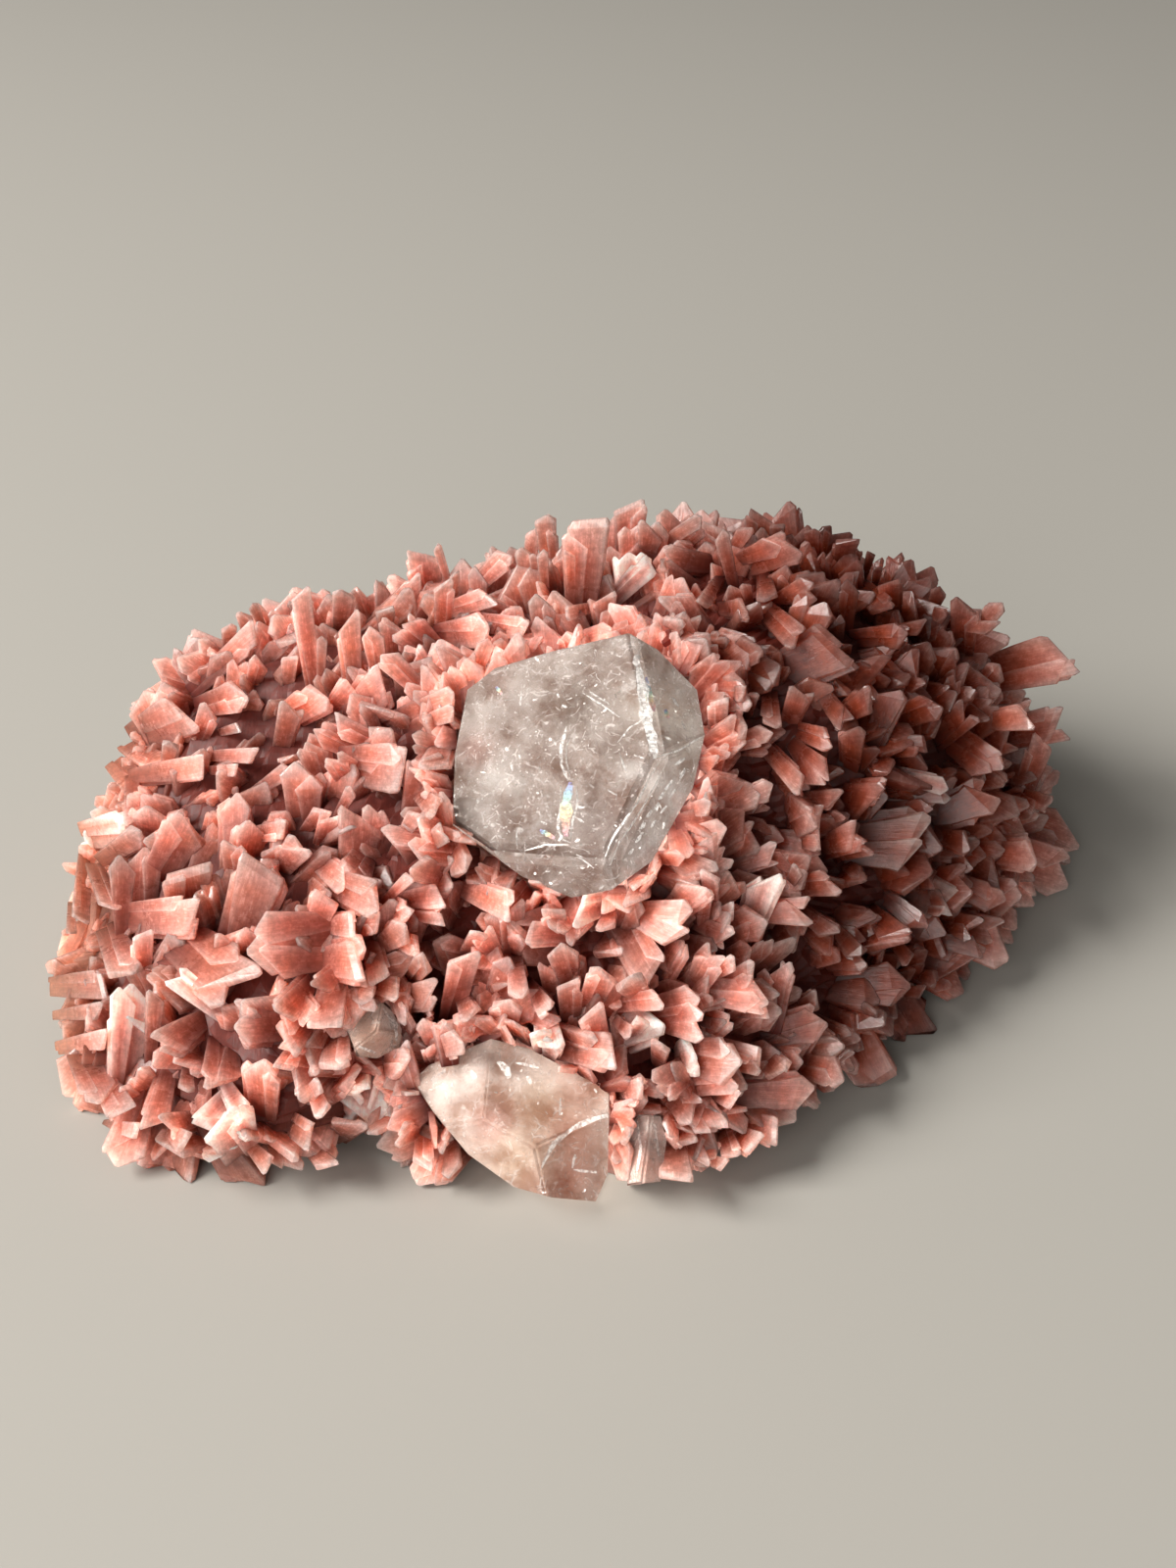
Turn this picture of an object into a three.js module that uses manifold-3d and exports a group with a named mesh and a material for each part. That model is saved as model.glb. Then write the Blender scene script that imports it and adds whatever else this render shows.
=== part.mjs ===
// Apophyllite on stilbite: clear blocky crystals seated in a mass of salmon-pink stilbite blades.
// Millimetres, +Z up. The origin is in the middle of the flat broken base that the mass lies on,
// +X is to the viewer's right and +Y is away from the viewer.

import * as THREE from 'three';
import Module from 'manifold-3d';

// Driving dimensions
const CREST_HEIGHT = 36;
const RIM_HEIGHT = 5;
const SEAT_GAP = 0.32;
const CRYSTAL_CLEARANCE = 0.4;
const BASE_SHARE = 0.86;
const MASS_CENTRE = { x: 0, y: -2 };

// Radius of the mass, without its crystals, every 15 degrees from +X towards +Y
const OUTLINE_STEP = Math.PI / 12;
const OUTLINE_RADII = [
  45.5, 53.5, 57.0, 51.0, 43.0, 38.0, 36.0, 35.5, 38.0, 43.5, 54.5, 60.0,
  60.0, 60.0, 60.5, 55.5, 44.0, 38.5, 38.8, 38.2, 36.0, 34.6, 36.0, 40.0,
];
const NOTCH = { angle: THREE.MathUtils.degToRad(237), halfWidth: 0.13, depth: 6.5 };

// Height of the crest from left to right, as shares of CREST_HEIGHT
const CREST_PROFILE = [
  [-60, 0.78], [-50, 0.87], [-38, 0.92], [-24, 0.87], [-10, 0.97], [8, 1.04],
  [22, 1.04], [36, 0.95], [46, 0.86], [58, 0.7],
];
const CREST_BACK_RISE = 0.05;

// The front slopes and the far side is a steep wall: powers of the dome, and the turn between
// them as sines of the angle from +X
const FRONT_ROUNDNESS = 1.65;
const WALL_ROUNDNESS = 6;
const DOME_POWER = 0.85;
const WALL_TURN = [-0.5, 0.35];
const NORMAL_STEP = 0.8;

// Pits and the hollow in the left lobe: place, radius, depth
const HOLLOWS = [
  { x: -36, y: -2, radius: 10, depth: 6 },
  { x: 19, y: -8, radius: 8, depth: 3 },
  { x: 20, y: -24, radius: 4, depth: 4 },
  { x: 38.6, y: 24, radius: 3.5, depth: 3 },
];
const HOLLOW_FALLOFF = 1.4;

// Rings of the mass from its middle to its rim, as shares of the radius
const TOP_RINGS = [0.2, 0.4, 0.58, 0.72, 0.83, 0.91, 0.97, 1];
const SPOKES = 40;
const FLANK_SHARE = 0.95;
const FLANK_LIFT = 0.4;
const CRAG_SIZE = 0.9;
const SMALLEST_DETAIL = 0.05;

// Line of sight along which the crystals were measured: the eye, its downward pitch, and the
// distance of the measuring sheet. A place on the sheet is [across, up] in millimetres.
const EYE = new THREE.Vector3(-1.5, -162.2, 136.8);
const PITCH = THREE.MathUtils.degToRad(36);
const SHEET_DISTANCE = 186.3;
const FORWARD = new THREE.Vector3(0, Math.cos(PITCH), -Math.sin(PITCH));
const SHEET_UP = new THREE.Vector3(0, Math.sin(PITCH), Math.cos(PITCH));
const SHEET_RIGHT = new THREE.Vector3(1, 0, 0);
const SHEET_CENTRE = { across: -3, up: -6 };
const SIGHT = { start: 120, end: 270, step: 0.5 };

// Ends that a stilbite blade can have
const SPEAR = 'spear';
const FLAT = 'flat';
const FAN = 'fan';

// Blades seen from the front: root across, root up, tip across, tip up, width, end
const TOP_LEFT_BLADES = [
  [-39.1, 10.9, -33.6, 15.9, 2.2, SPEAR], [-33.1, 17.0, -30.3, 14.3, 2.2, SPEAR],
  [-25.3, 16.0, -24.9, 19.8, 2.1, SPEAR], [-23.8, 10.0, -24.5, 17.7, 2.2, SPEAR],
  [-16.8, 9.5, -20.9, 13.4, 2.0, SPEAR], [-20.2, 18.2, -16.4, 20.7, 2.5, SPEAR],
  [-16.8, 14.2, -19.2, 16.2, 3.2, FLAT], [-16.4, 19.7, -16.9, 24.1, 3.2, FLAT],
  [-14.0, 15.0, -10.1, 15.6, 3.0, SPEAR], [-12.0, 20.5, -8.1, 23.6, 2.0, SPEAR],
];
const TOP_MIDDLE_BLADES = [
  [-4.0, 23.9, -4.4, 27.5, 2.1, SPEAR], [-6.0, 20.0, -6.4, 24.1, 2.1, SPEAR],
  [-4.7, 14.6, -4.9, 19.4, 2.3, SPEAR], [-0.3, 19.1, 0.2, 27.4, 3.8, FLAT],
  [4.3, 26.0, 4.3, 29.0, 2.9, SPEAR], [6.0, 23.1, 6.5, 26.8, 2.6, SPEAR],
  [3.7, 19.7, 6.7, 22.7, 2.1, FLAT], [1.8, 16.8, 1.6, 19.6, 2.4, FLAT],
  [-11.1, 16.4, -6.2, 15.6, 2.0, SPEAR], [11.6, 22.6, 7.7, 23.1, 2.7, SPEAR],
  [18.2, 24.4, 18.2, 27.7, 3.4, FLAT], [16.4, 22.4, 21.5, 24.3, 3.2, SPEAR],
  [25.6, 22.0, 26.6, 25.1, 2.2, SPEAR],
];
const TOP_RIGHT_BLADES = [
  [19.3, 18.9, 23.1, 19.9, 2.4, FAN], [14.1, 17.9, 16.3, 17.9, 2.0, SPEAR],
  [11.3, 15.9, 8.2, 19.9, 2.8, SPEAR], [18.3, 17.2, 21.6, 14.4, 2.4, SPEAR],
  [21.3, 11.9, 26.3, 14.4, 4.5, FLAT], [14.6, 12.6, 17.4, 14.5, 2.6, SPEAR],
  [10.4, 11.8, 12.2, 14.6, 3.0, SPEAR], [7.9, 14.8, 9.1, 17.0, 2.0, SPEAR],
  [28.4, 19.4, 30.4, 17.5, 2.2, SPEAR], [30.9, 18.0, 30.7, 20.9, 2.2, FLAT],
  [28.9, 14.8, 32.6, 15.0, 2.2, SPEAR], [31.7, 11.0, 34.3, 13.0, 2.6, SPEAR],
  [39.7, 14.3, 38.4, 19.0, 2.6, SPEAR], [44.1, 13.1, 49.8, 13.5, 4.5, FLAT],
  [40.5, 9.8, 42.1, 12.0, 2.2, SPEAR],
];
const LEFT_LOBE_BLADES = [
  [-48.4, 5.7, -40.6, 7.4, 4.2, FLAT], [-39.8, 4.8, -38.5, 8.0, 2.0, SPEAR],
  [-38.8, 8.4, -34.8, 9.4, 2.8, SPEAR], [-45.5, 1.0, -39.0, 1.8, 2.4, FLAT],
  [-47.5, 3.8, -43.6, 2.0, 2.5, SPEAR], [-46.5, -0.2, -46.2, -4.0, 2.0, SPEAR],
  [-47.2, 1.5, -44.0, -1.8, 3.0, SPEAR], [-52.5, -5.2, -46.4, -4.6, 3.6, SPEAR],
  [-48.9, -7.2, -45.5, -5.0, 2.3, SPEAR], [-42.6, -8.0, -40.4, -3.4, 4.0, SPEAR],
  [-36.0, -6.0, -36.0, -0.9, 3.0, SPEAR], [-36.1, -9.0, -36.2, -5.9, 2.3, FLAT],
  [-31.3, 3.8, -30.2, 8.2, 2.3, SPEAR], [-30.5, 6.8, -26.9, 9.2, 3.0, SPEAR],
  [-26.0, 7.6, -24.0, 10.2, 2.0, FLAT], [-23.5, 7.8, -20.3, 10.8, 3.6, FLAT],
  [-16.6, 7.9, -18.0, 10.6, 2.2, SPEAR], [-18.7, 7.2, -13.6, 9.0, 2.0, SPEAR],
  [-21.5, 4.4, -26.3, 6.4, 2.0, FLAT], [-22.0, 1.8, -19.4, 4.9, 3.4, SPEAR],
  [-24.0, 1.6, -18.6, 1.4, 4.2, FLAT], [-14.6, 4.6, -16.0, 1.4, 2.6, SPEAR],
  [-17.4, -0.8, -15.4, -2.8, 2.0, SPEAR], [-29.3, -2.4, -29.3, 2.2, 3.8, SPEAR],
  [-27.0, 0.8, -28.4, 4.4, 2.5, SPEAR], [-23.6, -7.0, -23.0, -2.3, 4.2, FLAT],
  [-23.2, -7.2, -24.4, -9.9, 2.8, SPEAR], [-31.0, -8.5, -29.2, -6.2, 2.4, SPEAR],
  [-32.2, -8.4, -32.2, -6.3, 2.0, SPEAR],
];
const LOWER_LEFT_BLADES = [
  [-40.4, -12.0, -40.8, -8.0, 4.2, FLAT], [-46.3, -13.0, -46.3, -6.5, 4.0, SPEAR],
  [-46.0, -13.9, -39.6, -13.5, 3.2, FLAT], [-48.8, -15.8, -47.0, -19.6, 3.0, SPEAR],
  [-41.4, -16.6, -35.2, -21.0, 5.0, SPEAR], [-37.8, -23.2, -42.6, -19.4, 2.0, FLAT],
  [-47.0, -28.9, -46.2, -20.4, 3.4, SPEAR], [-40.0, -24.5, -43.7, -27.0, 3.0, FLAT],
  [-50.3, -9.0, -48.6, -12.8, 2.0, SPEAR], [-53.6, -20.8, -49.0, -20.6, 2.4, FLAT],
  [-35.0, -14.4, -32.9, -7.6, 4.3, FLAT], [-27.2, -16.0, -34.8, -16.6, 5.2, SPEAR],
  [-27.5, -14.0, -26.6, -11.2, 2.4, FLAT], [-26.3, -10.2, -21.2, -12.2, 3.0, SPEAR],
  [-28.0, -7.6, -24.6, -10.2, 2.4, SPEAR], [-26.2, -14.4, -23.8, -14.4, 2.2, FLAT],
  [-26.2, -18.0, -22.8, -18.0, 3.6, FLAT], [-21.0, -16.4, -18.5, -14.6, 2.4, SPEAR],
  [-20.0, -12.4, -18.4, -13.9, 2.0, SPEAR], [-18.6, -11.8, -14.6, -11.4, 2.2, FLAT],
  [-25.8, -20.6, -26.9, -25.0, 3.0, FLAT], [-28.6, -20.6, -31.4, -23.8, 2.4, SPEAR],
  [-28.8, -23.8, -31.2, -26.8, 3.0, FLAT], [-31.3, -24.7, -36.0, -24.4, 3.6, SPEAR],
  [-26.4, -27.8, -30.3, -31.1, 3.4, SPEAR], [-25.8, -25.8, -25.9, -29.2, 2.6, SPEAR],
  [-33.3, -32.6, -33.4, -28.1, 3.0, SPEAR], [-37.3, -27.8, -37.5, -31.4, 2.9, FLAT],
  [-43.0, -30.2, -44.5, -35.5, 2.2, FLAT], [-35.9, -37.2, -37.4, -33.5, 4.2, SPEAR],
  [-40.4, -34.2, -43.4, -35.0, 2.2, SPEAR], [-30.2, -34.9, -28.0, -36.3, 2.2, FLAT],
  [-22.8, -29.2, -22.9, -34.8, 4.4, SPEAR], [-18.3, -32.2, -19.8, -34.2, 2.0, SPEAR],
  [-25.4, -35.6, -23.8, -34.2, 2.8, SPEAR], [-51.0, -28.6, -49.2, -32.4, 3.0, SPEAR],
  [-49.2, -30.0, -47.4, -33.6, 2.4, FLAT], [-31.4, -36.6, -30.2, -39.7, 2.4, SPEAR],
];
const LOWER_MIDDLE_BLADES = [
  [-12.8, -10.6, -7.6, -12.8, 2.4, FLAT], [-7.5, -16.2, -7.8, -12.0, 2.3, FLAT],
  [-3.0, -15.4, -3.6, -12.6, 2.0, FLAT], [-1.2, -15.2, -6.4, -15.2, 2.0, FLAT],
  [-2.0, -23.6, -2.0, -19.9, 2.0, FLAT], [-9.3, -17.6, -10.9, -15.0, 2.0, SPEAR],
  [-8.2, -25.0, -8.2, -22.0, 2.6, SPEAR], [3.4, -14.5, 7.0, -20.2, 3.0, FLAT],
  [3.9, -13.0, 10.2, -14.6, 3.6, FAN], [6.0, -22.0, 3.8, -19.8, 2.6, SPEAR],
  [0.6, -22.2, 1.7, -18.9, 2.4, SPEAR], [1.4, -27.6, 0.1, -22.6, 2.4, FLAT],
  [5.6, -9.6, 4.8, -12.4, 2.2, FLAT], [-13.4, -22.0, -12.4, -17.0, 2.6, SPEAR],
  [-19.6, -21.9, -15.2, -21.2, 2.5, SPEAR], [-14.4, -9.6, -17.9, -8.2, 2.4, SPEAR],
  [-1.6, -26.6, 3.1, -27.4, 3.0, FLAT], [9.9, -28.9, 7.0, -31.0, 2.8, SPEAR],
  [11.2, -3.6, 13.0, 0.2, 2.0, SPEAR], [9.2, -5.6, 14.2, -4.8, 2.4, SPEAR],
  [8.4, -10.0, 14.2, -6.2, 3.2, FLAT], [15.8, -8.2, 19.5, -6.7, 2.0, SPEAR],
  [8.4, -13.0, 11.6, -10.1, 2.8, SPEAR], [16.6, -14.2, 18.6, -8.8, 2.8, SPEAR],
  [11.6, -14.4, 14.7, -15.8, 2.0, SPEAR], [17.4, -13.3, 22.9, -13.1, 2.4, SPEAR],
  [21.6, -10.6, 25.7, -10.0, 2.4, SPEAR], [10.5, -21.0, 12.8, -17.0, 2.4, SPEAR],
  [12.0, -20.8, 18.5, -21.9, 2.8, SPEAR], [18.6, -22.8, 19.6, -17.9, 2.8, SPEAR],
  [7.2, -22.4, 11.3, -21.6, 2.2, SPEAR], [7.4, -24.4, 11.7, -24.2, 3.0, FAN],
  [19.8, -25.0, 24.4, -24.2, 3.0, SPEAR], [23.8, -24.9, 26.6, -26.2, 2.0, SPEAR],
  [10.3, -28.2, 15.6, -28.8, 3.6, SPEAR], [10.2, -30.9, 15.2, -30.1, 2.4, SPEAR],
  [11.2, -32.2, 13.0, -35.7, 2.8, FLAT], [16.8, -32.0, 23.1, -32.0, 3.8, SPEAR],
  [16.3, -34.5, 19.6, -35.6, 2.4, FLAT], [22.2, -28.4, 26.2, -29.8, 2.6, SPEAR],
  [22.8, -26.6, 27.5, -27.8, 3.0, SPEAR], [8.8, -36.8, 9.0, -40.6, 2.8, FLAT],
  [10.4, -35.8, 11.4, -39.4, 2.2, SPEAR], [15.2, -35.8, 17.2, -36.8, 2.2, FLAT],
];
const RIGHT_BLADES = [
  [15.0, -1.9, 19.0, -0.4, 2.0, SPEAR], [20.8, 4.2, 24.3, 0.2, 2.6, FAN],
  [21.6, 5.2, 25.0, 4.2, 2.0, SPEAR], [26.9, 1.8, 27.0, 6.0, 2.4, SPEAR],
  [26.2, 7.0, 29.2, 9.0, 2.4, SPEAR], [26.3, -1.5, 30.0, -2.0, 3.8, FLAT],
  [24.2, -6.2, 27.7, -5.0, 2.6, FLAT], [25.6, -7.4, 28.4, -6.0, 2.0, FAN],
  [21.4, -5.2, 23.9, -5.6, 2.2, FLAT], [20.4, 6.2, 21.8, 9.8, 2.2, FLAT],
  [29.0, 4.4, 31.4, 9.8, 2.6, SPEAR], [32.3, 6.6, 36.0, 8.2, 2.6, SPEAR],
  [36.4, 5.5, 39.0, 7.8, 2.6, SPEAR], [39.9, 6.3, 45.5, 6.8, 2.4, FLAT],
  [38.2, 3.9, 41.9, 1.0, 3.0, SPEAR], [29.2, 2.8, 30.8, 1.2, 2.2, SPEAR],
  [36.6, -2.9, 41.7, -0.8, 3.6, SPEAR], [28.8, -5.6, 35.0, -5.6, 5.0, SPEAR],
  [36.2, -5.3, 39.1, -6.2, 2.2, SPEAR], [45.0, -1.0, 46.6, 5.0, 2.3, FLAT],
  [43.4, 5.2, 48.8, 6.4, 3.2, FLAT], [40.8, -7.0, 45.8, -7.4, 3.0, SPEAR],
  [34.2, -11.8, 37.3, -12.2, 2.4, FLAT], [31.2, -12.4, 34.5, -14.9, 2.1, SPEAR],
  [37.6, -10.4, 42.4, -12.4, 2.6, SPEAR], [36.6, -13.8, 40.0, -15.0, 2.6, SPEAR],
  [28.8, -14.6, 31.4, -17.0, 4.0, SPEAR], [27.2, -20.3, 32.9, -20.2, 3.8, SPEAR],
];
const SEEN_BLADES = [
  ...TOP_LEFT_BLADES, ...TOP_MIDDLE_BLADES, ...TOP_RIGHT_BLADES, ...LEFT_LOBE_BLADES,
  ...LOWER_LEFT_BLADES, ...LOWER_MIDDLE_BLADES, ...RIGHT_BLADES,
];

// Blade proportions, as shares of the width: thickness, foot, the shoulder where a spear starts
// to taper, the ridge at its tip, and the slant of a flat end
const BLADE = {
  thickness: 0.42, thinnest: 0.25, thickest: 1.65, foot: 0.8, shoulder: 0.8, tipRidge: 0.56,
  flatEdge: 0.9, flatSlope: 0.1, longestTaper: 0.55, rootDepth: 1.6,
};

// How far the tip of a seen blade stands proud of the mass, how far it can lie in front of or
// behind its root, and how much its broad face turns
const TIP_LIFT = { least: 1.56, most: 3.64 };
const TIP_REACH = { front: 6, back: 5 };
const FACE_TURN = 0.5;
const LIFT_SEED = 5000;
const TURN_SEED = 7000;

// A fan is two narrow blades from one root
const FAN_SPLAY = 0.3;
const FAN_WIDTH = 0.6;

// Growth between the seen blades and over the far side: spacing from each other and from the seen
// ones, size, lean, and the share of it that stands in the band along the rim
const GROWTH = {
  seed: 7, tries: 9000, spacing: 6.9, clear: 4.6, length: 4.6, width: 3.1, tilt: 0.85,
  smallest: 0.65, largest: 1.35, flatShare: 0.3, wallShare: 0.45, wallBand: 0.25, rimInset: 0.995,
};

// Clear crystals: outline on the sheet, how far the outline stands proud of the mass and how deep
// the crystal is seated, and its faces, each through three [across, up, proud] places
const LARGE_CRYSTAL = {
  seat: [-1, 0.5],
  proud: 14,
  buried: 8,
  outline: [
    [-9.5, 11.8], [-12.3, 9.6], [-13.6, 2.9], [-13.8, -4.2], [-6.8, -9.4], [-1.7, -11.6],
    [2.4, -10.8], [6.5, -7.9], [10.7, -0.4], [11.9, 5.0], [11.1, 9.6], [7.1, 13.7],
    [4.2, 15.4], [-3.8, 13.5],
  ],
  faces: [
    [[6.9, 2.7, 7.6], [4.4, 14.6, 1.0], [-13.8, -4.2, 4.4]],
    [[6.9, 2.7, 7.6], [11.9, 5.0, 1.4], [4.4, 14.6, 1.0]],
    [[6.9, 2.7, 7.6], [1.4, -8.5, 11.3], [11.9, 5.0, 1.4]],
    [[-13.4, -4.3, 4.6], [-7.6, -8.2, 8.3], [-8.2, -9.0, 5.0]],
    [[-8.4, -6.9, 7.4], [1.6, -7.4, 10.8], [-1.7, -11.6, 6.0]],
  ],
};
const FRONT_CRYSTAL = {
  seat: [-7, -34],
  proud: 8,
  buried: 6,
  outline: [
    [-17.9, -30.2], [-16.2, -28.7], [-9.9, -26.0], [-6.0, -27.0], [0.0, -30.2], [2.2, -31.7],
    [2.0, -39.8], [0.8, -42.6], [-3.7, -42.2], [-7.6, -41.1], [-12.2, -37.8], [-15.7, -33.6],
  ],
  faces: [
    [[-9.9, -26.8, 3.0], [-10.6, -34.4, 6.4], [0.9, -34.2, 5.2]],
    [[-9.9, -26.8, 3.0], [-17.9, -30.2, 0.4], [-10.6, -34.4, 6.4]],
    [[0.9, -34.2, 5.2], [-4.9, -39.5, 6.0], [1.6, -41.0, 2.6]],
    [[-10.6, -34.4, 6.4], [-12.2, -37.6, 4.2], [-6.0, -41.4, 4.6]],
  ],
};
const SIDE_CRYSTAL = {
  seat: [6.6, -37],
  proud: 4.5,
  buried: 3.5,
  outline: [[3.9, -35.8], [5.2, -33.6], [7.4, -33.8], [8.0, -36.4], [7.4, -40.6], [4.0, -41.0]],
  faces: [
    [[6.4, -34.4, 3.4], [5.8, -38.8, 4.2], [3.9, -37.4, 2.0]],
    [[6.4, -34.4, 3.4], [8.2, -37.4, 1.6], [5.8, -38.8, 4.2]],
  ],
};
const SMALL_CRYSTAL = {
  seat: [-21.6, -25.2],
  proud: 5,
  buried: 3,
  outline: [
    [-24.6, -25.2], [-22.0, -22.8], [-21.0, -22.3], [-20.0, -23.2], [-19.0, -25.0],
    [-19.2, -26.8], [-21.5, -28.0], [-23.6, -27.8],
  ],
  faces: [
    [[-21.6, -25.2, 4.2], [-24.6, -25.2, 3.0], [-21.0, -22.3, 2.4]],
    [[-21.6, -25.2, 4.2], [-21.0, -22.3, 2.4], [-19.0, -25.6, 1.6]],
    [[-21.6, -25.2, 4.2], [-19.0, -25.6, 1.6], [-22.4, -28.0, 2.6]],
  ],
};

const wasm = await Module();
wasm.setup();

// Repeatable number from 0 to 1 for a whole number
function scatter(index) {
  let bits = Math.imul(index + 1, 0x9E3779B1);
  bits = Math.imul(bits ^ (bits >>> 15), 0x85EBCA6B);
  bits = Math.imul(bits ^ (bits >>> 13), 0xC2B2AE35);
  bits = bits ^ (bits >>> 16);
  return (bits >>> 0) / 4294967296;
}

function seatedRadius(angle) {
  const turns = THREE.MathUtils.euclideanModulo(angle / OUTLINE_STEP, OUTLINE_RADII.length);
  const index = Math.floor(turns);
  const next = (index + 1) % OUTLINE_RADII.length;
  const radius = THREE.MathUtils.lerp(OUTLINE_RADII[index], OUTLINE_RADII[next], turns - index);
  const away = Math.abs(THREE.MathUtils.euclideanModulo(angle, 2 * Math.PI) - NOTCH.angle);
  return radius - NOTCH.depth * Math.max(0, 1 - away / NOTCH.halfWidth);
}

function crestHeight(x) {
  const last = CREST_PROFILE.length - 1;
  const place = CREST_PROFILE.findIndex(([edge]) => x < edge);
  if (place === 0) {
    return CREST_HEIGHT * CREST_PROFILE[0][1];
  }
  if (place < 0) {
    return CREST_HEIGHT * CREST_PROFILE[last][1];
  }
  const [leftX, left] = CREST_PROFILE[place - 1];
  const [rightX, right] = CREST_PROFILE[place];
  return CREST_HEIGHT * THREE.MathUtils.lerp(left, right, (x - leftX) / (rightX - leftX));
}

// Top of the mass at (x, y), or nothing outside its outline
function massTop(x, y) {
  const across = x - MASS_CENTRE.x;
  const away = y - MASS_CENTRE.y;
  const angle = Math.atan2(away, across);
  const share = Math.hypot(across, away) / seatedRadius(angle);
  if (share > 1) {
    return null;
  }
  const wall = THREE.MathUtils.smoothstep(Math.sin(angle), ...WALL_TURN);
  const roundness = THREE.MathUtils.lerp(FRONT_ROUNDNESS, WALL_ROUNDNESS, wall);
  const crest = crestHeight(x) + CREST_BACK_RISE * away;
  const dome = (1 - share ** roundness) ** DOME_POWER;
  let height = RIM_HEIGHT + (crest - RIM_HEIGHT) * dome;
  for (const hollow of HOLLOWS) {
    const near = Math.hypot(x - hollow.x, y - hollow.y) / hollow.radius;
    height -= hollow.depth * Math.exp(-near * near * HOLLOW_FALLOFF);
  }
  return Math.max(height, RIM_HEIGHT);
}

function topNormal(x, y) {
  const here = massTop(x, y) ?? RIM_HEIGHT;
  const right = massTop(x + NORMAL_STEP, y) ?? here - NORMAL_STEP * 2;
  const back = massTop(x, y + NORMAL_STEP) ?? here - NORMAL_STEP * 2;
  return new THREE.Vector3(here - right, here - back, NORMAL_STEP).normalize();
}

// The bare mass: craggy top in rings, a broken lower flank, and a flat base
function bareMass() {
  const points = [[MASS_CENTRE.x, MASS_CENTRE.y, massTop(MASS_CENTRE.x, MASS_CENTRE.y)]];
  const rings = [
    ...TOP_RINGS.map((share) => ({ share, lift: 1 })),
    { share: FLANK_SHARE, lift: FLANK_LIFT },
    { share: BASE_SHARE, lift: 0 },
  ];
  rings.forEach(({ share, lift }, ring) => {
    for (let spoke = 0; spoke < SPOKES; spoke += 1) {
      const angle = (spoke + 0.5 * (ring % 2)) * 2 * Math.PI / SPOKES;
      const crag = CRAG_SIZE * (scatter(ring * SPOKES + spoke) - 0.5);
      const radius = seatedRadius(angle) * share + crag;
      const x = MASS_CENTRE.x + radius * Math.cos(angle);
      const y = MASS_CENTRE.y + radius * Math.sin(angle);
      const top = massTop(x, y) ?? RIM_HEIGHT;
      points.push([x, y, lift === 1 ? top + crag : RIM_HEIGHT * lift]);
    }
  });
  points.push([MASS_CENTRE.x, MASS_CENTRE.y, 0]);
  const triangles = [];
  const last = points.length - 1;
  const at = (ring, spoke) => 1 + ring * SPOKES + (spoke % SPOKES);
  for (let spoke = 0; spoke < SPOKES; spoke += 1) {
    triangles.push([0, at(0, spoke), at(0, spoke + 1)]);
    triangles.push([last, at(rings.length - 1, spoke + 1), at(rings.length - 1, spoke)]);
    for (let ring = 0; ring < rings.length - 1; ring += 1) {
      const inner = [at(ring, spoke), at(ring, spoke + 1)];
      const outer = [at(ring + 1, spoke), at(ring + 1, spoke + 1)];
      if (ring % 2 === 0) {
        triangles.push([inner[0], outer[0], inner[1]], [inner[1], outer[0], outer[1]]);
      } else {
        triangles.push([inner[0], outer[0], outer[1]], [inner[0], outer[1], inner[1]]);
      }
    }
  }
  return new wasm.Manifold(new wasm.Mesh({
    numProp: 3,
    vertProperties: new Float32Array(points.flat()),
    triVerts: new Uint32Array(triangles.flat()),
  }));
}

function sightLine(across, up) {
  const line = FORWARD.clone().multiplyScalar(SHEET_DISTANCE);
  line.addScaledVector(SHEET_RIGHT, across);
  return line.addScaledVector(SHEET_UP, up).normalize();
}

// Distance from the eye to the mass along a sight line, or nothing where the line passes it
function distanceToMass(line) {
  for (let distance = SIGHT.start; distance < SIGHT.end; distance += SIGHT.step) {
    const place = EYE.clone().addScaledVector(line, distance);
    const top = massTop(place.x, place.y);
    if (top !== null && place.z < top && place.z > 0) {
      return distance;
    }
  }
  return null;
}

// Nearest sheet place, towards the sheet's centre, whose sight line meets the mass
function rootOnMass(across, up) {
  let share = 0;
  while (share < 1) {
    const line = sightLine(
      THREE.MathUtils.lerp(across, SHEET_CENTRE.across, share),
      THREE.MathUtils.lerp(up, SHEET_CENTRE.up, share),
    );
    const distance = distanceToMass(line);
    if (distance !== null) {
      return { distance, place: EYE.clone().addScaledVector(line, distance) };
    }
    share += 0.01;
  }
  throw new Error('no mass behind this place on the sheet');
}

// One blade from root to tip, its broad face turned to face the given side
function blade(root, tip, width, end, facing) {
  const along = tip.clone().sub(root);
  const length = along.length();
  along.normalize();
  const across = along.clone().cross(facing).normalize();
  const through = across.clone().cross(along);
  const thickness = Math.min(BLADE.thickness * width + BLADE.thinnest, BLADE.thickest);
  const corners = (distance, wide, thick, slope) => {
    const ring = [];
    for (const [side, face] of [[-1, -1], [1, -1], [1, 1], [-1, 1]]) {
      const corner = root.clone().addScaledVector(along, distance + slope * side);
      corner.addScaledVector(across, 0.5 * wide * side);
      ring.push(corner.addScaledVector(through, 0.5 * thick * face).toArray());
    }
    return ring;
  };
  const foot = corners(-BLADE.rootDepth, width * BLADE.foot, thickness * BLADE.foot, 0);
  if (end === FLAT) {
    const slope = BLADE.flatSlope * width;
    const edge = corners(length - slope, width, thickness * BLADE.flatEdge, slope);
    return wasm.Manifold.hull([...foot, ...edge]);
  }
  const taper = Math.min(BLADE.shoulder * width, BLADE.longestTaper * length);
  return wasm.Manifold.hull([
    ...foot,
    ...corners(length - taper, width, thickness, 0),
    ...corners(length, 0, thickness * BLADE.tipRidge, 0),
  ]);
}

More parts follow.
